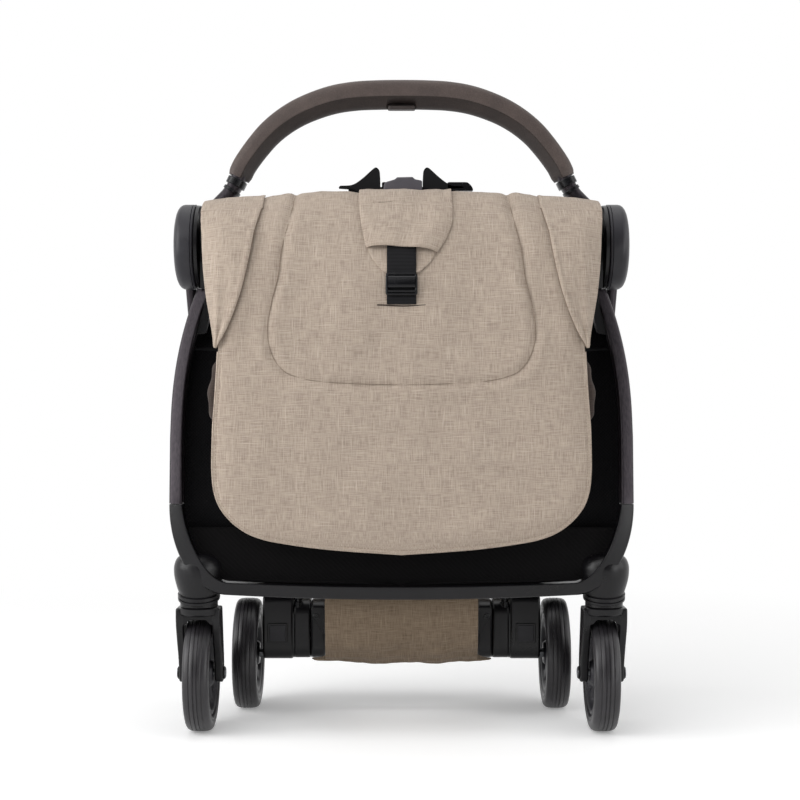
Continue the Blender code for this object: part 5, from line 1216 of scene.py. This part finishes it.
def makeHarness():
    y = hub["y"] + harness["y"]
    for name, side in sides:
        ear = rounded(sided([(0.0231, 0.574), (0.0231, 0.59), (0.0238, 0.601), (0.0278, 0.6052),
            (0.033, 0.601), (0.042, 0.5925), (0.053, 0.5846), (0.0676, 0.5842), (0.069, 0.5812),
            (0.052, 0.58), (0.046, 0.574)], side), [0.001, 0.004, 0.003, 0.0034, 0.004, 0.006, 0.006,
            0.0015, 0.0015, 0.003, 0.003], 6)
        slabPiece(f"harnessEar_{name}", ear, y - 0.001, y - 0.001 + harness["ear"], "webbing", "backrest",
            axis="Y", soften=0.0016)
        low, high = sorted((side * 0.016, side * 0.0215))
        slabPiece(f"harnessTab_{name}", rectangle(low, high, 0.574, 0.5885, 0.002), y + 0.001, y + 0.005,
            "webbing", "backrest", axis="Y", soften=0.001)
    x = np.linspace(-0.058, 0.058, 40)
    z = np.linspace(0.511, 0.583, 30)
    # The pad narrows to a round lower end, its width a quarter wave of the height
    taper = (0.5 + 0.5 * np.sin(share((z - 0.511) / 0.05) * math.pi / 2))[:, None]
    grid = np.stack([x[None] * taper, y + 0.0016 + 0.0008 * softFolds(x[None] * 2, z[:, None] * 2),
        z[:, None] + 0 * x[None]], -1)
    clothPiece("harnessBack", grid, 0.0024, "net", "backrest", "hung", ["backrest_panel"], roll=1,
        stands=["harness_web"])
    top = rounded([(-0.02, 0.576), (0.0225, 0.576), (0.0225, 0.5894), (0.0148, 0.5908), (0.012, 0.5934),
        (-0.005, 0.593), (-0.0072, 0.5908), (-0.019, 0.5872)],
        [0.002, 0.002, 0.002, 0.001, 0.001, 0.001, 0.001, 0.003], 5)
    slabPiece("harnessLock", top, y - 0.005, y + 0.0062, "grey", "backrest", axis="Y", soften=0.0016,
        stands=["harness_buckle"])
    body = rounded([(0.05, 0.5785), (0.0788, 0.5785), (0.077, 0.5836), (0.0722, 0.5882), (0.05, 0.5882)],
        0.0022, 5)
    slabPiece("strapBuckle", body, y - 0.001, y + 0.0075, "gloss", "backrest", axis="Y", soften=0.0012,
        stands=["strap_adjuster"])


makeBackPanel()
makeWings()
makeStrap()
makeCushion("backPadInner", cushions["backPadInner"], "liner")
makeCushion("seatCushion", cushions["seatCushion"], "liner")
makeCushion("legCushion", cushions["legCushion"], "linen")
makeShadedLinerRolls()
makeBasket()
makeCanopy()
makeHarness()
print("cloth made")


carried = dict(
    steel=["hub_cross_tube", "rear_axle", "front_axle_left", "front_axle_right"],
    tube=["seat_bracket_left", "seat_bracket_right"],
    moulded=["front_leg_top_left", "front_leg_top_right", "backrest_board", "seat_board", "canopy_rear_bow",
             "canopy_front_bow"],
)
for finish, names in carried.items():
    for nodeName in names:
        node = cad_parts[nodeName]
        node.data.materials.clear()
        node.data.materials.append(looks[finish])
print("carried-over nodes dressed")


studio = dict(cameraY=-1.7, cameraZ=0.3566, focal=1564 / 800 * 36, floor="#F6F6F6", key=21, left=30,
    right=11, top=12, strip=5, ambient=0.4, mirrorFront=0.06, floorGlow=0.24)


def makeStudio():
    s = studio
    lens = bpy.data.cameras.new("camera")
    lens.sensor_width = 36
    lens.lens = s["focal"]
    lens.shift_x, lens.shift_y = -0.0019, -0.0075
    lens.clip_start = 0.05
    camera = bpy.data.objects.new("camera", lens)
    camera.location = (0, hub["y"] + s["cameraY"], s["cameraZ"])
    camera.rotation_euler = (math.pi / 2, 0, 0)
    bpy.context.collection.objects.link(camera)
    bpy.context.scene.camera = camera

    world = bpy.data.worlds.new("studio")
    bpy.context.scene.world = world
    world.use_nodes = True
    tree = world.node_tree
    back = tree.nodes["Background"]
    ray = addNode(tree, "ShaderNodeLightPath")
    seen = combine(tree, "MAXIMUM", ray.outputs["Is Camera Ray"], ray.outputs["Is Transmission Ray"])
    # Reflections find the white background behind and beside the object, and the dim room
    # behind the camera
    way = addNode(tree, "ShaderNodeTexCoord").outputs["Generated"]
    ahead = addNode(tree, "ShaderNodeSeparateXYZ", links={0: way}).outputs["Y"]
    screen = addNode(tree, "ShaderNodeMapRange", {1: -0.8, 2: -0.15, 3: s["mirrorFront"], 4: 1.0},
        {0: ahead}).outputs[0]
    mirror = addNode(tree, "ShaderNodeMix", {2: s["ambient"]},
        {0: ray.outputs["Is Glossy Ray"], 3: screen}).outputs[0]
    tree.links.new(combine(tree, "MAXIMUM", seen, mirror), back.inputs["Strength"])
    back.inputs["Color"].default_value = (1, 1, 1, 1)

    # The floor's own shading carries the shadows; a glow lifts it to white for camera, mirror
    # and glass rays, and from 0.5 to 1.3 m out it fades to plain white
    floor = bpy.data.materials.new("floorPaper")
    floor.use_nodes = True
    tree = floor.node_tree
    shader = tree.nodes["Principled BSDF"]
    shader.inputs["Base Color"].default_value = linear(s["floor"])
    shader.inputs["Roughness"].default_value = 0.9
    shader.inputs["Specular IOR Level"].default_value = 0.1
    shader.inputs["Emission Color"].default_value = (1, 1, 1, 1)
    ray = addNode(tree, "ShaderNodeLightPath")
    seen = combine(tree, "MAXIMUM", ray.outputs["Is Camera Ray"], ray.outputs["Is Glossy Ray"])
    seen = combine(tree, "MAXIMUM", seen, ray.outputs["Is Transmission Ray"])
    tree.links.new(combine(tree, "MULTIPLY", seen, s["floorGlow"]), shader.inputs["Emission Strength"])
    place = addNode(tree, "ShaderNodeTexCoord").outputs["Object"]
    reach = addNode(tree, "ShaderNodeVectorMath", {"operation": "LENGTH"}, {0: place}).outputs["Value"]
    fade = addNode(tree, "ShaderNodeMapRange", {"interpolation_type": "SMOOTHSTEP", 1: 0.5, 2: 1.3},
        {0: reach}).outputs[0]
    white = addNode(tree, "ShaderNodeEmission", {"Color": (1, 1, 1, 1), "Strength": 1.0})
    mixed = addNode(tree, "ShaderNodeMixShader", links={0: combine(tree, "MULTIPLY", fade, seen),
        1: shader.outputs[0], 2: white.outputs[0]})
    tree.links.new(mixed.outputs[0], tree.nodes["Material Output"].inputs["Surface"])
    mesh = bpy.data.meshes.new("studioFloor")
    mesh.from_pydata([(-30, -30, 0), (30, -30, 0), (30, 30, 0), (-30, 30, 0)], [], [(0, 1, 2, 3)])
    mesh.materials.append(floor)
    plane = bpy.data.objects.new("studioFloor", mesh)
    bpy.context.collection.objects.link(plane)

    # The two strips only show as lines of light along the tubes
    lamps = (
        ("keyLamp", (-1.0, -2.1, 2.1), 1.8, s["key"]),
        ("leftLamp", (-2.0, -0.8, 1.0), 1.5, s["left"]),
        ("rightLamp", (2.0, -0.6, 1.0), 1.5, s["right"]),
        ("topLamp", (0.0, 0.0, 2.4), 2.0, s["top"]),
        ("rightStrip", (1.6, -1.5, 0.5), 0.9, s["strip"] * 1.6),
        ("leftStrip", (-1.5, -1.6, 0.2), 0.8, s["strip"] * 0.7),
    )
    for name, place, size, power in lamps:
        light = bpy.data.lights.new(name, "AREA")
        light.size = size
        light.energy = power
        lamp = bpy.data.objects.new(name, light)
        lamp.location = place
        lamp.visible_diffuse = not name.endswith("Strip")
        aim = np.array([0, 0, 0.35]) - np.array(place)
        flat = math.hypot(aim[0], aim[1])
        lamp.rotation_euler = (math.atan2(flat, -aim[2]), 0, math.atan2(aim[1], aim[0]) - math.pi / 2)
        bpy.context.collection.objects.link(lamp)
    bpy.context.scene.view_settings.view_transform = "Standard"


makeStudio()
print("studio made")
